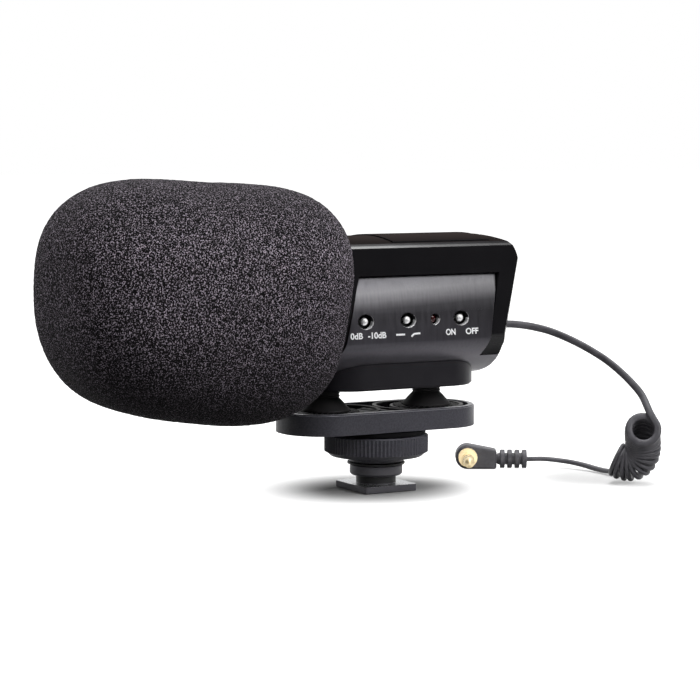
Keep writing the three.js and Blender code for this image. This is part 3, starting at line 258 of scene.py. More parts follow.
def heading(line, i):
    """The way that a line of points runs at one of them."""
    return (line[min(i + 1, len(line) - 1)] - line[max(i - 1, 0)]).normalized()


helix, outward = [], []
aside = -leftward
turns_line = along_curve(curl_line, round(curl_turns * steps_a_turn))
for i, point in enumerate(turns_line):
    way = heading(turns_line, i)
    aside = (aside - way * aside.dot(way)).normalized()
    turn = first_turn - math.tau * i / steps_a_turn
    out = aside * math.cos(turn) + aside.cross(way) * math.sin(turn)
    helix.append(point + out * curl_radius)
    outward.append(out)
lead = along_curve([cord_exit, *lead_route, helix[0] - heading(helix, 0) * run_into_curls,
                    helix[0]], lead_steps)[:-1]
leave = helix[-1] + heading(helix, len(helix) - 1) * run_out_of_curls
tail = along_curve([helix[-1], leave, *tail_route, plug_end + plug_way * run_into_plug,
                    plug_end], tail_steps)[1:]
cord_line = lead + helix + tail
cord_wides = [up.lerp(outward[0], min(1, max(0, (i - lead_flat_until) / lead_twist_steps)))
              for i in range(len(lead))]
cord_wides += outward
cord_wides += [outward[-1].lerp(up.cross(heading(tail, i)), min(1, i / tail_twist_steps))
               for i in range(len(tail))]


def pick(*objects):
    bpy.ops.object.select_all(action="DESELECT")
    for thing in objects:
        thing.select_set(True)
    bpy.context.view_layer.objects.active = objects[0]


def smooth(piece, angle):
    pick(piece)
    bpy.ops.object.shade_smooth_by_angle(angle=math.radians(angle))


def object_of(mesh, name):
    """A new object from a finished bmesh."""
    data = bpy.data.meshes.new(name)
    mesh.to_mesh(data)
    mesh.free()
    piece = bpy.data.objects.new(name, data)
    scene.collection.objects.link(piece)
    return piece


def ribbon_tube(name, line, wides, wide, thick, sides=12, squareness=0.8):
    """A tube with a flat rounded section whose broad side is turned as asked at every point."""
    mesh = bmesh.new()
    rings = []
    for i, centre in enumerate(line):
        way = heading(line, i)
        broad = (wides[i] - way * wides[i].dot(way)).normalized()
        narrow = way.cross(broad)
        ring = []
        for k in range(sides):
            over, out = math.cos(math.tau * k / sides), math.sin(math.tau * k / sides)
            x = math.copysign(abs(over) ** squareness, over) * wide / 2
            y = math.copysign(abs(out) ** squareness, out) * thick / 2
            ring.append(mesh.verts.new(centre + broad * x + narrow * y))
        rings.append(ring)
    for a, b in zip(rings, rings[1:]):
        for k in range(sides):
            mesh.faces.new((a[k], a[(k + 1) % sides], b[(k + 1) % sides], b[k]))
    mesh.faces.new(rings[0][::-1])
    mesh.faces.new(rings[-1])
    bmesh.ops.recalc_face_normals(mesh, faces=mesh.faces)
    tube = object_of(mesh, name)
    smooth(tube, 50)
    return tube


def object_texture(material, kind, scale, stretch=(1, 1, 1), turn=(0, 0, 0), **settings):
    """A texture that stays put on the piece, stretched and turned as its grain runs."""
    tree = material.node_tree
    place = tree.nodes.new("ShaderNodeTexCoord")
    mapping = tree.nodes.new("ShaderNodeMapping")
    mapping.inputs["Scale"].default_value = stretch
    mapping.inputs["Rotation"].default_value = turn
    texture = tree.nodes.new(kind)
    texture.inputs["Scale"].default_value = scale
    for socket, value in settings.items():
        texture.inputs[socket.capitalize()].default_value = value
    tree.links.new(place.outputs["Object"], mapping.inputs["Vector"])
    tree.links.new(mapping.outputs["Vector"], texture.inputs["Vector"])
    return texture


def grain_of(material, scale, detail, **settings):
    return object_texture(material, "ShaderNodeTexNoise", scale, detail=detail, **settings)


def ramp_of(tree, value, stops):
    """A colour ramp over a value from 0 to 1, through places and colours or greys."""
    ramp = tree.nodes.new("ShaderNodeValToRGB")
    elements = ramp.color_ramp.elements
    while len(elements) < len(stops):
        elements.new(0.5)
    for element, (at, colour) in zip(elements, stops):
        element.position = at
        element.color = (*colour, 1) if isinstance(colour, tuple) else (colour,) * 3 + (1,)
    tree.links.new(value, ramp.inputs["Fac"])
    return ramp.outputs["Color"]


def vary_colour(material, texture, dark, light, low=0.35, high=0.65):
    tree = material.node_tree
    colour = ramp_of(tree, texture.outputs[0], [(low, dark), (high, light)])
    tree.links.new(colour, shader_of(material).inputs["Base Color"])
    return colour


def vary_roughness(material, texture, low, high, span=(0.3, 0.7)):
    tree = material.node_tree
    spread = mapped(tree, texture.outputs[0], *span, low, high, run="LINEAR")
    tree.links.new(spread, shader_of(material).inputs["Roughness"])


def raise_grain(material, texture, strength, depth):
    tree = material.node_tree
    bump = tree.nodes.new("ShaderNodeBump")
    bump.inputs["Strength"].default_value = strength
    bump.inputs["Distance"].default_value = depth
    tree.links.new(texture.outputs[0], bump.inputs["Height"])
    tree.links.new(bump.outputs["Normal"], shader_of(material).inputs["Normal"])


def paint(piece, material):
    piece.data.materials.clear()
    piece.data.materials.append(material)


cord = ribbon_tube("curly_cord", cord_line, cord_wides, cord_wide, cord_thick)
cord_rubber = finish_material("cord_rubber", (0.075, 0.072, 0.082), 0.45, specular=0.3)
mottle = grain_of(cord_rubber, 260, 4)
vary_colour(cord_rubber, mottle, (0.06, 0.058, 0.066), (0.1, 0.097, 0.108))
vary_roughness(cord_rubber, mottle, 0.36, 0.5)
raise_grain(cord_rubber, grain_of(cord_rubber, 2600, 3), strength=0.25, depth=0.00006)
paint(cord, cord_rubber)
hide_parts("cord_lead", "cord_coil", "cord_tail")
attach(cord, "base")

# Plug: a moulded right angle head with rounded sides, a short neck and a ringed relief behind
# it, all in the cord's own rubber. Its jack is turned in four gold plated pieces, kept apart by
# two black insulators, and points at the lens.
neck_radius, neck_length = 0.0015, 0.0016


def copy_of(node):
    """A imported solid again, as a free object with a mesh of its own."""
    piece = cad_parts[node].copy()
    piece.data = piece.data.copy()
    for key in list(piece.keys()):
        del piece[key]
    piece.parent = None
    scene.collection.objects.link(piece)
    return piece


def apply_modifier(piece, kind, **settings):
    """One modifier, put on a piece and applied to its mesh at once."""
    pick(piece)
    modifier = piece.modifiers.new("step", kind)
    for setting, value in settings.items():
        setattr(modifier, setting, value)
    bpy.ops.object.modifier_apply(modifier="step")


def eased_copy(node, name, width, segments=2, angle=32, joined=True):
    """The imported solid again, its loose faces joined, its edges rounded over."""
    merge_reach, flat_enough = 0.000004, math.radians(1.5)
    piece = copy_of(node)
    piece.name = piece.data.name = name
    pick(piece)
    bpy.ops.object.mode_set(mode="EDIT")
    bpy.ops.mesh.select_all(action="SELECT")
    bpy.ops.mesh.remove_doubles(threshold=merge_reach)
    if joined:
        bpy.ops.mesh.dissolve_limited(angle_limit=flat_enough)
    bpy.ops.mesh.customdata_custom_splitnormals_clear()
    bpy.ops.object.mode_set(mode="OBJECT")
    apply_modifier(piece, "BEVEL", width=width, segments=segments, limit_method="ANGLE",
                   angle_limit=math.radians(angle), miter_outer="MITER_ARC")
    smooth(piece, angle)
    apply_modifier(piece, "WEIGHTED_NORMAL", keep_sharp=True)
    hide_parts(node)
    return piece


plug = eased_copy("plug_housing", "plug_head", width=0.0008, segments=4)
relief = eased_copy("plug_strain_relief", "plug_relief", width=0.00025)
relief_start = min((vertex.co - plug_end).dot(plug_way) for vertex in relief.data.vertices)
bpy.ops.mesh.primitive_cylinder_add(vertices=24, radius=neck_radius, depth=neck_length,
                                    location=plug_end + plug_way * relief_start)
neck = bpy.context.object
neck.name = "relief_neck"
neck.rotation_euler = plug_way.to_track_quat("Z", "Y").to_euler()
pick(neck)
bpy.ops.object.transform_apply(location=True, rotation=True, scale=True)
smooth(neck, 40)
for piece in (plug, relief, neck):
    paint(piece, cord_rubber)
    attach(piece, "base")
gold = finish_material("gold_plate", (1, 0.82, 0.5), 0.3, metallic=0.75)
vary_roughness(gold, grain_of(gold, 400, 2), 0.28, 0.34)
for node in ("jack_collar", "jack_sleeve", "jack_ring", "jack_tip"):
    part = eased_copy(node, node.replace("jack", "jack_plated"), width=0.00012)
    paint(part, gold)
    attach(part, "base")
moulding = finish_material("black_moulding", (0.009, 0.009, 0.0095), 0.38, specular=0.3)
raise_grain(moulding, grain_of(moulding, 1900, 2), strength=0.2, depth=0.00005)
vary_roughness(moulding, grain_of(moulding, 120, 3), 0.38, 0.55)
for node in ("jack_insulator_rear", "jack_insulator_front"):
    paint(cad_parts[node], moulding)

# Gland: a short cone of black rubber with a flange that seats on the leaning back wall. It grips
# the lead and keeps it from a sharp bend where it leaves the body.
rubber = finish_material("black_rubber", (0.016, 0.015, 0.016), 0.6, specular=0.2)
raise_grain(rubber, grain_of(rubber, 1500, 3), strength=0.3, depth=0.00008)
vary_roughness(rubber, grain_of(rubber, 90, 3), 0.5, 0.75)
gland = eased_copy("cord_gland", "gland_cone", width=0.0003, segments=3)
paint(gland, rubber)
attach(gland, "mic_body")

# Foam windscreen: one soft block of open cell foam, a hollow over the basket and a mouth that
# hugs the body. A subdivided block is pressed to its slumped, round cornered shape, hollowed,
# evened out and roughened, and its underside is raised clear of the tray's whole travel.
foam_middle, foam_half = Vector((0, -0.0612, 0.0595)), (0.0335, 0.0439, 0.0351)
girth_power, length_power = 2.41, 3.26
# waves round the outline as the switch side shows it: kind, number and reach
slump_waves = ((math.sin, 2, -0.0203), (math.cos, 3, -0.015), (math.sin, 3, 0.0284),
               (math.sin, 4, 0.0223))
foam_cuts, hollow_cuts, foam_wall = 40, 20, 0.0065
mouth_gap, mouth_front, saddle_gap, front_band = 0.00025, -0.045, 0.0003, 0.002
tray_gap, tray_half, tray_front, lift_fade = 0.0016, 0.0175, -0.0368, 0.003
foam_dents = ((90, 0.00018), (1300, 0.00015))


def soft_block(name, draw_in, cuts):
    """The foam's slumped block, or one drawn in on all sides to hollow it with."""
    bpy.ops.mesh.primitive_cube_add(size=2)
    block = bpy.context.object
    block.name = name
    bpy.ops.object.mode_set(mode="EDIT")
    bpy.ops.mesh.select_all(action="SELECT")
    bpy.ops.mesh.subdivide(number_cuts=cuts)
    bpy.ops.object.mode_set(mode="OBJECT")
    a, b, c = (half - draw_in for half in foam_half)
    for vertex in block.data.vertices:
        way = vertex.co.normalized()
        girth = abs(way.x) ** girth_power + abs(way.z) ** girth_power
        girth = girth ** (length_power / girth_power)
        way /= (girth + abs(way.y) ** length_power) ** (1 / length_power)
        turn = math.atan2(way.z, way.y)
        slump = sum((reach * wave(turn * number) for wave, number, reach in slump_waves), 1)
        vertex.co = foam_middle + Vector((way.x * a, way.y * b * slump, way.z * c * slump))
    return block


def hull_cutter(name, nodes, grow, front=None):
    """The outside of some solids as one cutter, a little larger, drawn out towards the head."""
    pick(*[copy_of(node) for node in nodes])
    if len(nodes) > 1:
        bpy.ops.object.join()
    cutter = bpy.context.object
    cutter.name = name
    bpy.ops.object.mode_set(mode="EDIT")
    bpy.ops.mesh.select_all(action="SELECT")
    bpy.ops.mesh.convex_hull()
    bpy.ops.mesh.select_all(action="SELECT")
    bpy.ops.mesh.normals_make_consistent(inside=False)
    bpy.ops.transform.shrink_fatten(value=grow)
    bpy.ops.object.mode_set(mode="OBJECT")
    if front is not None:
        edge = min(vertex.co.y for vertex in cutter.data.vertices) + front_band
        for vertex in cutter.data.vertices:
            if vertex.co.y < edge:
                vertex.co.y = front
    return cutter


foam = soft_block("foam_block", 0, foam_cuts)
for cutter in (soft_block("hollow", foam_wall, hollow_cuts),
               hull_cutter("mouth", ["upper_shell", "lower_shell"], mouth_gap, mouth_front),
               hull_cutter("saddle_mouth", ["saddle"], saddle_gap)):
    apply_modifier(foam, "BOOLEAN", object=cutter, solver="MANIFOLD")
    bpy.data.objects.remove(cutter)
apply_modifier(foam, "REMESH", mode="VOXEL", voxel_size=0.0009)
apply_modifier(foam, "SMOOTH", factor=0.5, iterations=4)
tray_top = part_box("base_tray")[1].z
for vertex in foam.data.vertices:
    over_tray = (min(1, max(0, (tray_half - abs(vertex.co.x)) / lift_fade))
                 * min(1, max(0, (vertex.co.y - tray_front) / lift_fade)))
    vertex.co.z += max(0, tray_top + tray_gap - vertex.co.z) * over_tray
outwards = [vertex.normal.copy() for vertex in foam.data.vertices]
for vertex, out in zip(foam.data.vertices, outwards):
    vertex.co += out * sum(noise.noise(vertex.co * scale) * depth for scale, depth in foam_dents)
bpy.ops.object.shade_smooth()


def axes_of(tree, kind):
    """The three parts of the piece's own place (Object) or facing (Normal)."""
    split = tree.nodes.new("ShaderNodeSeparateXYZ")
    tree.links.new(tree.nodes.new("ShaderNodeTexCoord").outputs[kind], split.inputs[0])
    return split.outputs


def multiplied(tree, first, second):
    """One colour times another, channel by channel."""
    mix = tree.nodes.new("ShaderNodeMix")
    mix.data_type, mix.blend_type = "RGBA", "MULTIPLY"
    mix.inputs["Factor"].default_value = 1
    tree.links.new(first, mix.inputs["A"])
    tree.links.new(second, mix.inputs["B"])
    return mix.outputs["Result"]


foam_cloth = finish_material("foam_cloth", (0.04, 0.035, 0.04), 0.95, specular=0.15)
tree = foam_cloth.node_tree
cells = grain_of(foam_cloth, 2500, 2, roughness=0.7)
# the pale flecks are the cells' grain, painted bright as glints on the cell walls
grain_and_painted_glints = vary_colour(foam_cloth, cells, (0.003, 0.0026, 0.0034), (0.72, 0.63, 0.74), 0.55, 0.62)
raise_grain(foam_cloth, cells, strength=0.6, depth=0.0003)
# painted shade: faces turned down and faces turned up are darkened in the colour
facing = mapped(tree, axes_of(tree, "Normal")["Z"], -1, 1, 0, 1)
painted_top_and_under_shade = ramp_of(tree, facing, [(0.04, 0.35), (0.45, 0.75), (0.7, 0.7), (1, 0.36)])
tree.links.new(multiplied(tree, grain_and_painted_glints, painted_top_and_under_shade), shader_of(foam_cloth).inputs["Base Color"])
paint(foam, foam_cloth)
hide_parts("foam_windscreen")
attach(foam, "windscreen")

# Frame shell: gloss black top, hoop and back, sprayed over an alloy casting. Its rear column is
# brushed on the slant, and a fine rounded edge runs along the top where the light catches.
edge_low, edge_high = 0.0744, 0.0748
column_dull_low, column_dull_high = 0.04, 0.048
rear_from, foot_from, foot_band, foot_drop = 0.02, 0.03, 0.0015, 0.0011
gloss = finish_material("gloss_black", (0.008, 0.0075, 0.009), 0.18, specular=0.22)
tree = gloss.node_tree
vary_roughness(gloss, grain_of(gloss, 60, 5), 0.14, 0.26)
brush = grain_of(gloss, 900, 2, stretch=(1, 1, 0.05), turn=(math.radians(-32), 0, 0))
raise_grain(gloss, brush, strength=0.12, depth=0.00003)
facing, height = axes_of(tree, "Normal")["Z"], axes_of(tree, "Object")["Z"]
shine = ramp_of(tree, facing, [(0, 0.22), (0.2, 0.3), (0.34, 1), (0.8, 0.9), (0.92, 0)])
for fade in (mapped(tree, height, edge_low, edge_high, 1, 0.12),
             mapped(tree, height, column_dull_low, column_dull_high, 0.15, 1)):
    product = tree.nodes.new("ShaderNodeMath")
    product.operation = "MULTIPLY"
    tree.links.new(shine, product.inputs[0])
    tree.links.new(fade, product.inputs[1])
    shine = product.outputs[0]
tree.links.new(shine, shader_of(gloss).inputs["Specular IOR Level"])
# painted sheen: faces turned up, on the crown, take a lighter colour than the sides
painted_crown_sheen = ramp_of(tree, facing, [(0.86, (0.008, 0.0075, 0.009)), (0.975, (0.012, 0.01, 0.01)),
                                  (0.998, (0.03, 0.024, 0.023))])
tree.links.new(painted_crown_sheen, shader_of(gloss).inputs["Base Color"])
shell = eased_copy("upper_shell", "frame_shell", width=0.00018, segments=3, angle=28)
lowest = min(vertex.co.z for vertex in shell.data.vertices if vertex.co.y > foot_from)
for vertex in shell.data.vertices:
    if vertex.co.y > rear_from and vertex.co.z < lowest + foot_band:
        vertex.co.z -= foot_drop
paint(shell, gloss)
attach(shell, "mic_body")

# Battery door: the raised lid of the bay, cast and sprayed in the same gloss black. It swings on
# a steel pin at its back. The screws, contacts and capsules are plain steel as well.
door = eased_copy("battery_door", "door_lid", width=0.0001, angle=28)
paint(door, gloss)
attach(door, "door")
steel = finish_material("bare_steel", (0.56, 0.57, 0.58), 0.3, metallic=1)
vary_roughness(steel, grain_of(steel, 1400, 3, stretch=(1, 1, 0.1)), 0.2, 0.42)
for node in ("door_pin", "mount_screw_front", "mount_screw_rear", "tie_screw_front",
             "tie_screw_rear", "board_screw_front", "board_screw_rear", "battery_contact_front",
             "battery_contact_rear", "capsule_left", "capsule_right"):
    paint(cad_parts[node], steel)

# Lower shell: both bulging side panels and the belly in one satin coated casting, with a faint
# upright grain, drilled for the three levers and the light. Its colour carries painted light in
# bands up the panel and painted shade towards the rear; the holes' lower rims carry a painted
# highlight.
panel_lean, panel_low, panel_high = (0, -0.05, 1), 0.034, 0.066
# painted light: bands of colour up the panel, bright where reflections fall, dark in between
painted_light_bands = [
    (0, (0.21, 0.205, 0.225)), (0.16, (0.16, 0.152, 0.175)), (0.36, (0.056, 0.053, 0.063)),
    (0.6, (0.042, 0.04, 0.046)), (0.7, (0.052, 0.05, 0.056)), (0.78, (0.115, 0.112, 0.12)),
    (0.86, (0.13, 0.128, 0.135)), (0.93, (0.085, 0.083, 0.09)), (1, (0.035, 0.034, 0.038))]
belly_top, belly_fade, belly_rear, rear_fade, belly_push = 0.0412, 0.005, 0.029, 0.003, 0.002
hole_height, hole_places = 0.0526, (-0.0145, 0.00005, 0.01865, 0.0095)
hole_reach, panel_outside, hole_wall_tilt = 0.0029, 0.0172, 0.93
satin = finish_material("satin_panel", (0.05, 0.048, 0.055), 0.34, metallic=0.55, specular=0.3)
tree, sockets = satin.node_tree, shader_of(satin).inputs
sockets["Anisotropic"].default_value = 0.3
streaks = grain_of(satin, 1500, 3, stretch=(1, 1, 0.02))
raise_grain(satin, streaks, strength=0.08, depth=0.00004)
vary_roughness(satin, streaks, 0.3, 0.42)
place = tree.nodes.new("ShaderNodeTexCoord").outputs["Object"]
height = mapped(tree, measured_along(tree, place, panel_lean), panel_low, panel_high, 0, 1,
                run="LINEAR")
painted_bands_and_grain = multiplied(tree, ramp_of(tree, height, painted_light_bands),
                     ramp_of(tree, streaks.outputs[0], [(0.3, 0.92), (0.7, 1.1)]))
# painted shade: the colour darkens towards the rear of the body
painted_rear_shade = mapped(tree, axes_of(tree, "Object")["Y"], -0.02, 0.034, 1.25, 0.8)
tree.links.new(multiplied(tree, painted_bands_and_grain, painted_rear_shade), sockets["Base Color"])
panel = eased_copy("lower_shell", "panel_shell", width=0.00015, segments=3, angle=28)
for vertex in panel.data.vertices:
    low = min(1, max(0, (belly_top - vertex.co.z) / belly_fade))
    vertex.co.y += belly_push * low * min(1, max(0, (vertex.co.y - belly_rear) / rear_fade))
paint(panel, satin)
# painted highlight: near-white metal on the holes' lower rims stands in for their glint
painted_hole_glint = finish_material("painted_hole_glint", (0.95, 0.95, 0.97), 0.3, metallic=0.3)
vary_roughness(painted_hole_glint, grain_of(painted_hole_glint, 2000, 2), 0.16, 0.3)
panel.data.materials.append(painted_hole_glint)
for face in panel.data.polygons:
    for along in hole_places:
        rearward_by, above = face.center.y - along, face.center.z - hole_height
        near = face.center.x > panel_outside and max(abs(rearward_by), abs(above)) < hole_reach
        if near and rearward_by > above and abs(face.normal.x) < hole_wall_tilt:
            face.material_index = 1
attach(panel, "mic_body")

# Panel marks: white print under each switch, plain words and signs that say what it does. Each
# is a thin mesh laid on the panel's curve.
print_foot, print_height, letter_size, letter_weight = 0.04762, 0.0019, 0.0026, 0.00008
stroke_width, ink_lift, panel_side = 0.00055, 0.00004, 0.018
print_white = finish_material("print_white", (0.95, 0.96, 0.98), 0.5, specular=0.3)
vary_colour(print_white, grain_of(print_white, 3000, 2), (0.88, 0.89, 0.92), (1, 1, 1))


def lay_on_panel(mark):
    for vertex in mark.data.vertices:
        outside = Vector((0.03, vertex.co.y, vertex.co.z))
        hit, point, _, _ = panel.ray_cast(outside, Vector((-1, 0, 0)))
        vertex.co.x = (point.x if hit else panel_side) + ink_lift
    paint(mark, print_white)
    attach(mark, "mic_body")


def printed(name, words, start, end):
    """Bold upright print of one cap height, between two places along the body."""
    bpy.ops.object.text_add(location=(0, 0, 0), rotation=(math.pi / 2, 0, math.pi / 2))
    mark = bpy.context.object
    mark.data.body, mark.data.size, mark.data.offset = words, letter_size, letter_weight
    pick(mark)
    bpy.ops.object.convert(target="MESH")
    bpy.ops.object.transform_apply(location=True, rotation=True, scale=True)
    mark.name = name
    places = [vertex.co.copy() for vertex in mark.data.vertices]
    low_y, high_y = min(p.y for p in places), max(p.y for p in places)
    low_z, high_z = min(p.z for p in places), max(p.z for p in places)
    for vertex, old in zip(mark.data.vertices, places):
        vertex.co.y = start + (old.y - low_y) / (high_y - low_y) * (end - start)
        vertex.co.z = print_foot + (old.z - low_z) / (high_z - low_z) * print_height
    lay_on_panel(mark)


def stroke(name, *points):
    """A line of print of even width, through points given along the body and up it."""
    mesh = bmesh.new()
    rows = []
    for i, (along, height) in enumerate(points):
        before, after = points[max(i - 1, 0)], points[min(i + 1, len(points) - 1)]
        way = Vector((0, after[0] - before[0], after[1] - before[1])).normalized()
        across = Vector((1, 0, 0)).cross(way) * stroke_width / 2
        centre = Vector((0.02, along, height))
        rows.append([mesh.verts.new(centre - across), mesh.verts.new(centre + across)])
    for a, b in zip(rows, rows[1:]):
        mesh.faces.new((a[0], b[0], b[1], a[1]))
    lay_on_panel(object_of(mesh, name))


printed("mark_0db", "0dB", -0.01995, -0.01575)
printed("mark_10db", "-10dB", -0.01406, -0.00777)
stroke("mark_flat", (-0.0044, 0.04845), (-0.00132, 0.04845))
stroke("mark_filter", (0.0009, 0.0477), (0.0014, 0.0482), (0.0019, 0.0485), (0.004, 0.0486))
printed("mark_on", "ON", 0.013, 0.0164)
printed("mark_off", "OFF", 0.02004, 0.02455)

# Switches: three turned and chromed levers, each a ball on a thin stem. Its pivot is pinned in
# the moulded body behind the panel, and the lever leans to the side that is switched on.
ball_radius, ball_reach, stem_radius, stem_length = 0.00115, 0.0051, 0.0005, 0.0046
pivot_radius, pivot_width, pivot_easing = 0.0008, 0.0016, 0.0001
lever_depth, lever_lean = 0.012, math.radians(-7)
chrome = finish_material("lever_chrome", (1, 1, 1), 0.12, metallic=0.35, specular=0.9)
vary_roughness(chrome, grain_of(chrome, 500, 3), 0.08, 0.16)
for name, along in (("pad", -0.0139), ("filter", 0.00065), ("power", 0.01925)):
    bpy.ops.mesh.primitive_uv_sphere_add(segments=32, ring_count=20, radius=ball_radius,
                                         location=(ball_reach, 0, 0))
    ball = bpy.context.object
    bpy.ops.mesh.primitive_cylinder_add(vertices=20, radius=stem_radius, depth=stem_length,
                                        location=(stem_length / 2, 0, 0),
                                        rotation=(0, math.pi / 2, 0))
    stem = bpy.context.object
    bpy.ops.mesh.primitive_cylinder_add(vertices=24, radius=pivot_radius, depth=pivot_width)
    pivot = bpy.context.object
    apply_modifier(pivot, "BEVEL", width=pivot_easing, segments=2)
    pick(ball, stem, pivot)
    bpy.ops.object.transform_apply(location=True, rotation=True, scale=True)
    bpy.ops.object.join()
    lever = bpy.context.object
    lever.name = f"lever_ball_{name}"
    lever.data.transform(Matrix.Translation((lever_depth, along, hole_height))
                         @ Matrix.Rotation(lever_lean, 4, "Z"))
    lever.matrix_world = Matrix.Identity(4)
    smooth(lever, 40)
    paint(lever, chrome)
    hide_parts(f"switch_lever_{name}")
    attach(lever, f"lever_{name}")
    paint(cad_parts[f"switch_body_{name}"], moulding)

# Power light: a round lens moulded in red tinted plastic, on the board behind its own hole. It
# is off, so it shows a dark red.
red_lens = finish_material("red_lens", (0.09, 0.006, 0.007), 0.12, specular=0.5, coat=0.3)
shader_of(red_lens).inputs["Subsurface Weight"].default_value = 0.1
vary_colour(red_lens, grain_of(red_lens, 700, 2), (0.03, 0.002, 0.0025), (0.07, 0.005, 0.006))
light_lens = eased_copy("power_light", "light_lens", width=0.0002, segments=3)
paint(light_lens, red_lens)
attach(light_lens, "mic_body")

# Saddle: the satin black block between the belly and the rubber mounts, cast and painted. Two
# screws tie it to the belly, and its edges are eased.
satin_black = finish_material("satin_black", (0.012, 0.0108, 0.0145), 0.45, specular=0.2)
raise_grain(satin_black, grain_of(satin_black, 2400, 2), strength=0.15, depth=0.00004)
vary_roughness(satin_black, grain_of(satin_black, 150, 4), 0.34, 0.5)
saddle = eased_copy("saddle", "saddle_block", width=0.0004, segments=3)
paint(saddle, satin_black)
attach(saddle, "mic_body")

# Rubber mounts: waisted posts with two moulded beads round the neck, spreading to a skirt. Each
# stands in a spoked black carrier whose fins hold the skirt and whose low rim clears the nut.
waist, bead_reach, bead_half = 0.0041, 0.00022, 0.00035
fin_count, fin_place, fin_height, fin_size = 30, 0.009, 0.0252, (0.0026, 0.0006, 0.0018)
fin_slope, carrier_floor, carrier_flattened = 0.0006, 0.0244, 0.3


def bead(height):
    return [(waist, height - bead_half), (waist + bead_reach, height - bead_half / 2),
            (waist + bead_reach, height + bead_half / 2), (waist, height + bead_half)]


def turned(name, profile, segments=64):
    """A body turned from radius and height pairs, closed on itself."""
    mesh = bmesh.new()
    loop = [mesh.verts.new((radius, 0, height)) for radius, height in profile]
    edges = [mesh.edges.new((a, b)) for a, b in zip(loop, loop[1:] + loop[:1])]
    bmesh.ops.spin(mesh, geom=loop + edges, axis=(0, 0, 1), cent=(0, 0, 0), angle=math.tau,
                   steps=segments)
    bmesh.ops.remove_doubles(mesh, verts=mesh.verts, dist=0.000002)
    bmesh.ops.recalc_face_normals(mesh, faces=mesh.faces)
    return object_of(mesh, name)


post_profile = [
    (0.0021, 0.02345), (0.0059, 0.02345), (0.0061, 0.02365), (0.0061, 0.0244), (0.0073, 0.0247),
    (0.0074, 0.0249), (0.0074, 0.0252), (0.0072, 0.0255), (0.0066, 0.0261), (0.0059, 0.0269),
    (0.0052, 0.0277), (0.0046, 0.0283), (0.0042, 0.0287), *bead(0.0293), *bead(0.0303),
    (0.0041, 0.0309), (0.004, 0.03106), (0.0021, 0.03106)]
for end in ("front", "rear"):
    low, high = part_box(f"rubber_mount_{end}")
    along = ((low + high) / 2).y
    mount = turned(f"mount_post_{end}", post_profile)
    mount.data.transform(Matrix.Translation((0, along, 0)))
    smooth(mount, 40)
    paint(mount, rubber)
    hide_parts(f"rubber_mount_{end}")
    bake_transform(mount)
    carrier = eased_copy(f"mount_carrier_{end}", f"carrier_ring_{end}", width=0.0003, segments=3,
                         joined=False)
    bpy.ops.mesh.primitive_cube_add(size=1, location=(fin_place, along, fin_height), scale=fin_size)
    fin = bpy.context.object
    bpy.ops.object.transform_apply(location=True, rotation=False, scale=True)
    for vertex in fin.data.vertices:
        if vertex.co.x > fin_place and vertex.co.z > fin_height:
            vertex.co.z -= fin_slope
    fins = [fin]
    for i in range(1, fin_count):
        twin = fin.copy()
        twin.data = fin.data.copy()
        scene.collection.objects.link(twin)
        twin.data.transform(Matrix.Translation((0, along, 0))
                            @ Matrix.Rotation(math.tau * i / fin_count, 4, "Z")
                            @ Matrix.Translation((0, -along, 0)))
        fins.append(twin)
    pick(carrier, *fins)
    bpy.ops.object.join()
    for vertex in carrier.data.vertices:
        if vertex.co.z > carrier_floor:
            vertex.co.z = carrier_floor + (vertex.co.z - carrier_floor) * carrier_flattened
    paint(carrier, moulding)
    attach(carrier, "base")

# Tray, ring and boss: machined alloy, painted slate grey. The tray's rim carries a painted
# highlight in a lighter grey, the ring is knurled for the fingers, and the boss between them is
# black, made darker still as painted shade in the gap.
rim_from, rim_facing = 0.0236, 0.3
slate = finish_material("slate_paint", (0.052, 0.051, 0.062), 0.42, specular=0.25)
speckle = grain_of(slate, 2100, 3)
raise_grain(slate, speckle, strength=0.18, depth=0.00005)
vary_colour(slate, speckle, (0.044, 0.043, 0.053), (0.064, 0.063, 0.076))
vary_roughness(slate, grain_of(slate, 110, 4), 0.34, 0.48)
# painted highlight: upward faces of the tray's rim take a lighter grey metal
tray_rim_glint = finish_material("painted_rim_glint", (0.3, 0.3, 0.33), 0.35, metallic=0.4)
vary_roughness(tray_rim_glint, grain_of(tray_rim_glint, 1500, 3), 0.25, 0.42)
tray = eased_copy("base_tray", "tray_dish", width=0.0003, segments=3)
paint(tray, slate)
tray.data.materials.append(tray_rim_glint)
for face in tray.data.polygons:
    if face.normal.z > rim_facing and face.center.z > rim_from:
        face.material_index = 1
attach(tray, "base")
ring = eased_copy("lock_ring", "knurled_ring", width=0.00008, segments=1)
paint(ring, slate)
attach(ring, "ring")
# painted shade: the boss is darker and duller than the other black mouldings, as its gap is dark
gap_shade_black = finish_material("black_with_gap_shade", (0.004, 0.004, 0.0045), 0.8, specular=0.08)
vary_roughness(gap_shade_black, grain_of(gap_shade_black, 300, 3), 0.7, 0.9)
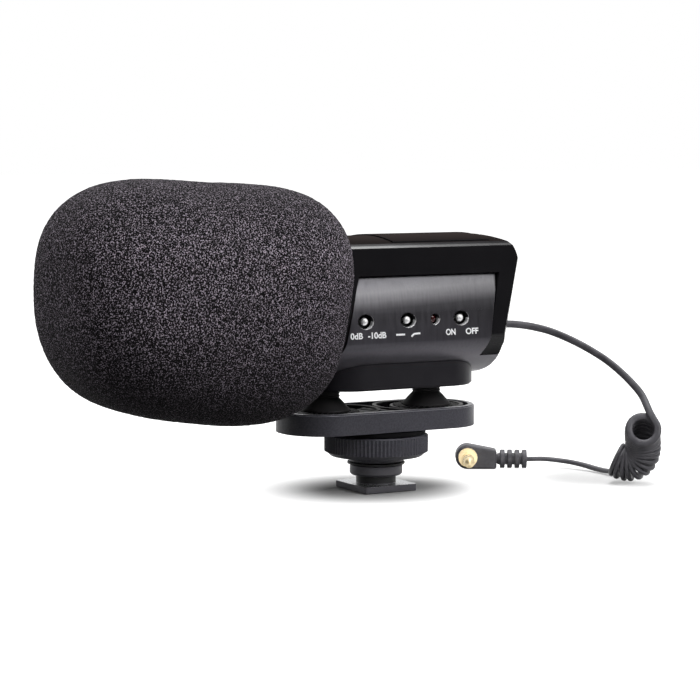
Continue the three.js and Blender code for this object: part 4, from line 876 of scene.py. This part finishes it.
boss = eased_copy("base_boss", "boss_disc", width=0.0001)
paint(boss, gap_shade_black)
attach(boss, "base")

# Foot, collar and washer: turned steel in a dark coat. The plate's top faces take bare steel as a
# painted reflection of the pale floor beyond, and the neck above it and the washer are black.
plate_top, top_facing = 0.0023, 0.6
coated = finish_material("coated_steel", (0.085, 0.083, 0.093), 0.4, metallic=0.3, specular=0.3)
lathe_lines = grain_of(coated, 1200, 2, stretch=(0.15, 0.15, 3))
raise_grain(coated, lathe_lines, strength=0.12, depth=0.00004)
vary_roughness(coated, grain_of(coated, 140, 4), 0.3, 0.48)
paint(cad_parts["stud_nut"], coated)
foot = eased_copy("shoe_foot", "foot_plate", width=0.00018)
paint(foot, coated)
foot.data.materials.append(steel)
foot.data.materials.append(moulding)
for face in foot.data.polygons:
    if face.center.z > plate_top:
        face.material_index = 2
    # painted reflection: the plate's upward faces get bright bare steel
    elif face.normal.z > top_facing:
        face.material_index = 1
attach(foot, "base")
collar = eased_copy("clamp_collar", "collar_turned", width=0.00012)
paint(collar, coated)
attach(collar, "clamp")
washer = eased_copy("clamp_washer", "washer_turned", width=0.00012)
paint(washer, moulding)
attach(washer, "clamp")

# Inside: the collar, basket, bracket, capsules and their boots under the foam, and the cells,
# cradle and board in the body, in their plain mouldings and metals.
for node in ("head_collar", "head_basket", "capsule_bracket", "battery_cradle"):
    paint(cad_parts[node], moulding)
for node in ("capsule_boot_left", "capsule_boot_right"):
    paint(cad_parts[node], rubber)
board_green = finish_material("board_green", (0.01, 0.07, 0.03), 0.35)
vary_colour(board_green, object_texture(board_green, "ShaderNodeTexBrick", 300),
            (0.008, 0.06, 0.025), (0.014, 0.1, 0.04), 0, 1)
paint(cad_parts["circuit_board"], board_green)
cell_sleeve = finish_material("cell_sleeve", (0.02, 0.045, 0.12), 0.3, coat=0.3)
vary_colour(cell_sleeve, grain_of(cell_sleeve, 40, 2, stretch=(1, 0.1, 1)),
            (0.015, 0.035, 0.1), (0.03, 0.06, 0.15))
for node in ("battery_cell_left", "battery_cell_right"):
    paint(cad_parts[node], cell_sleeve)
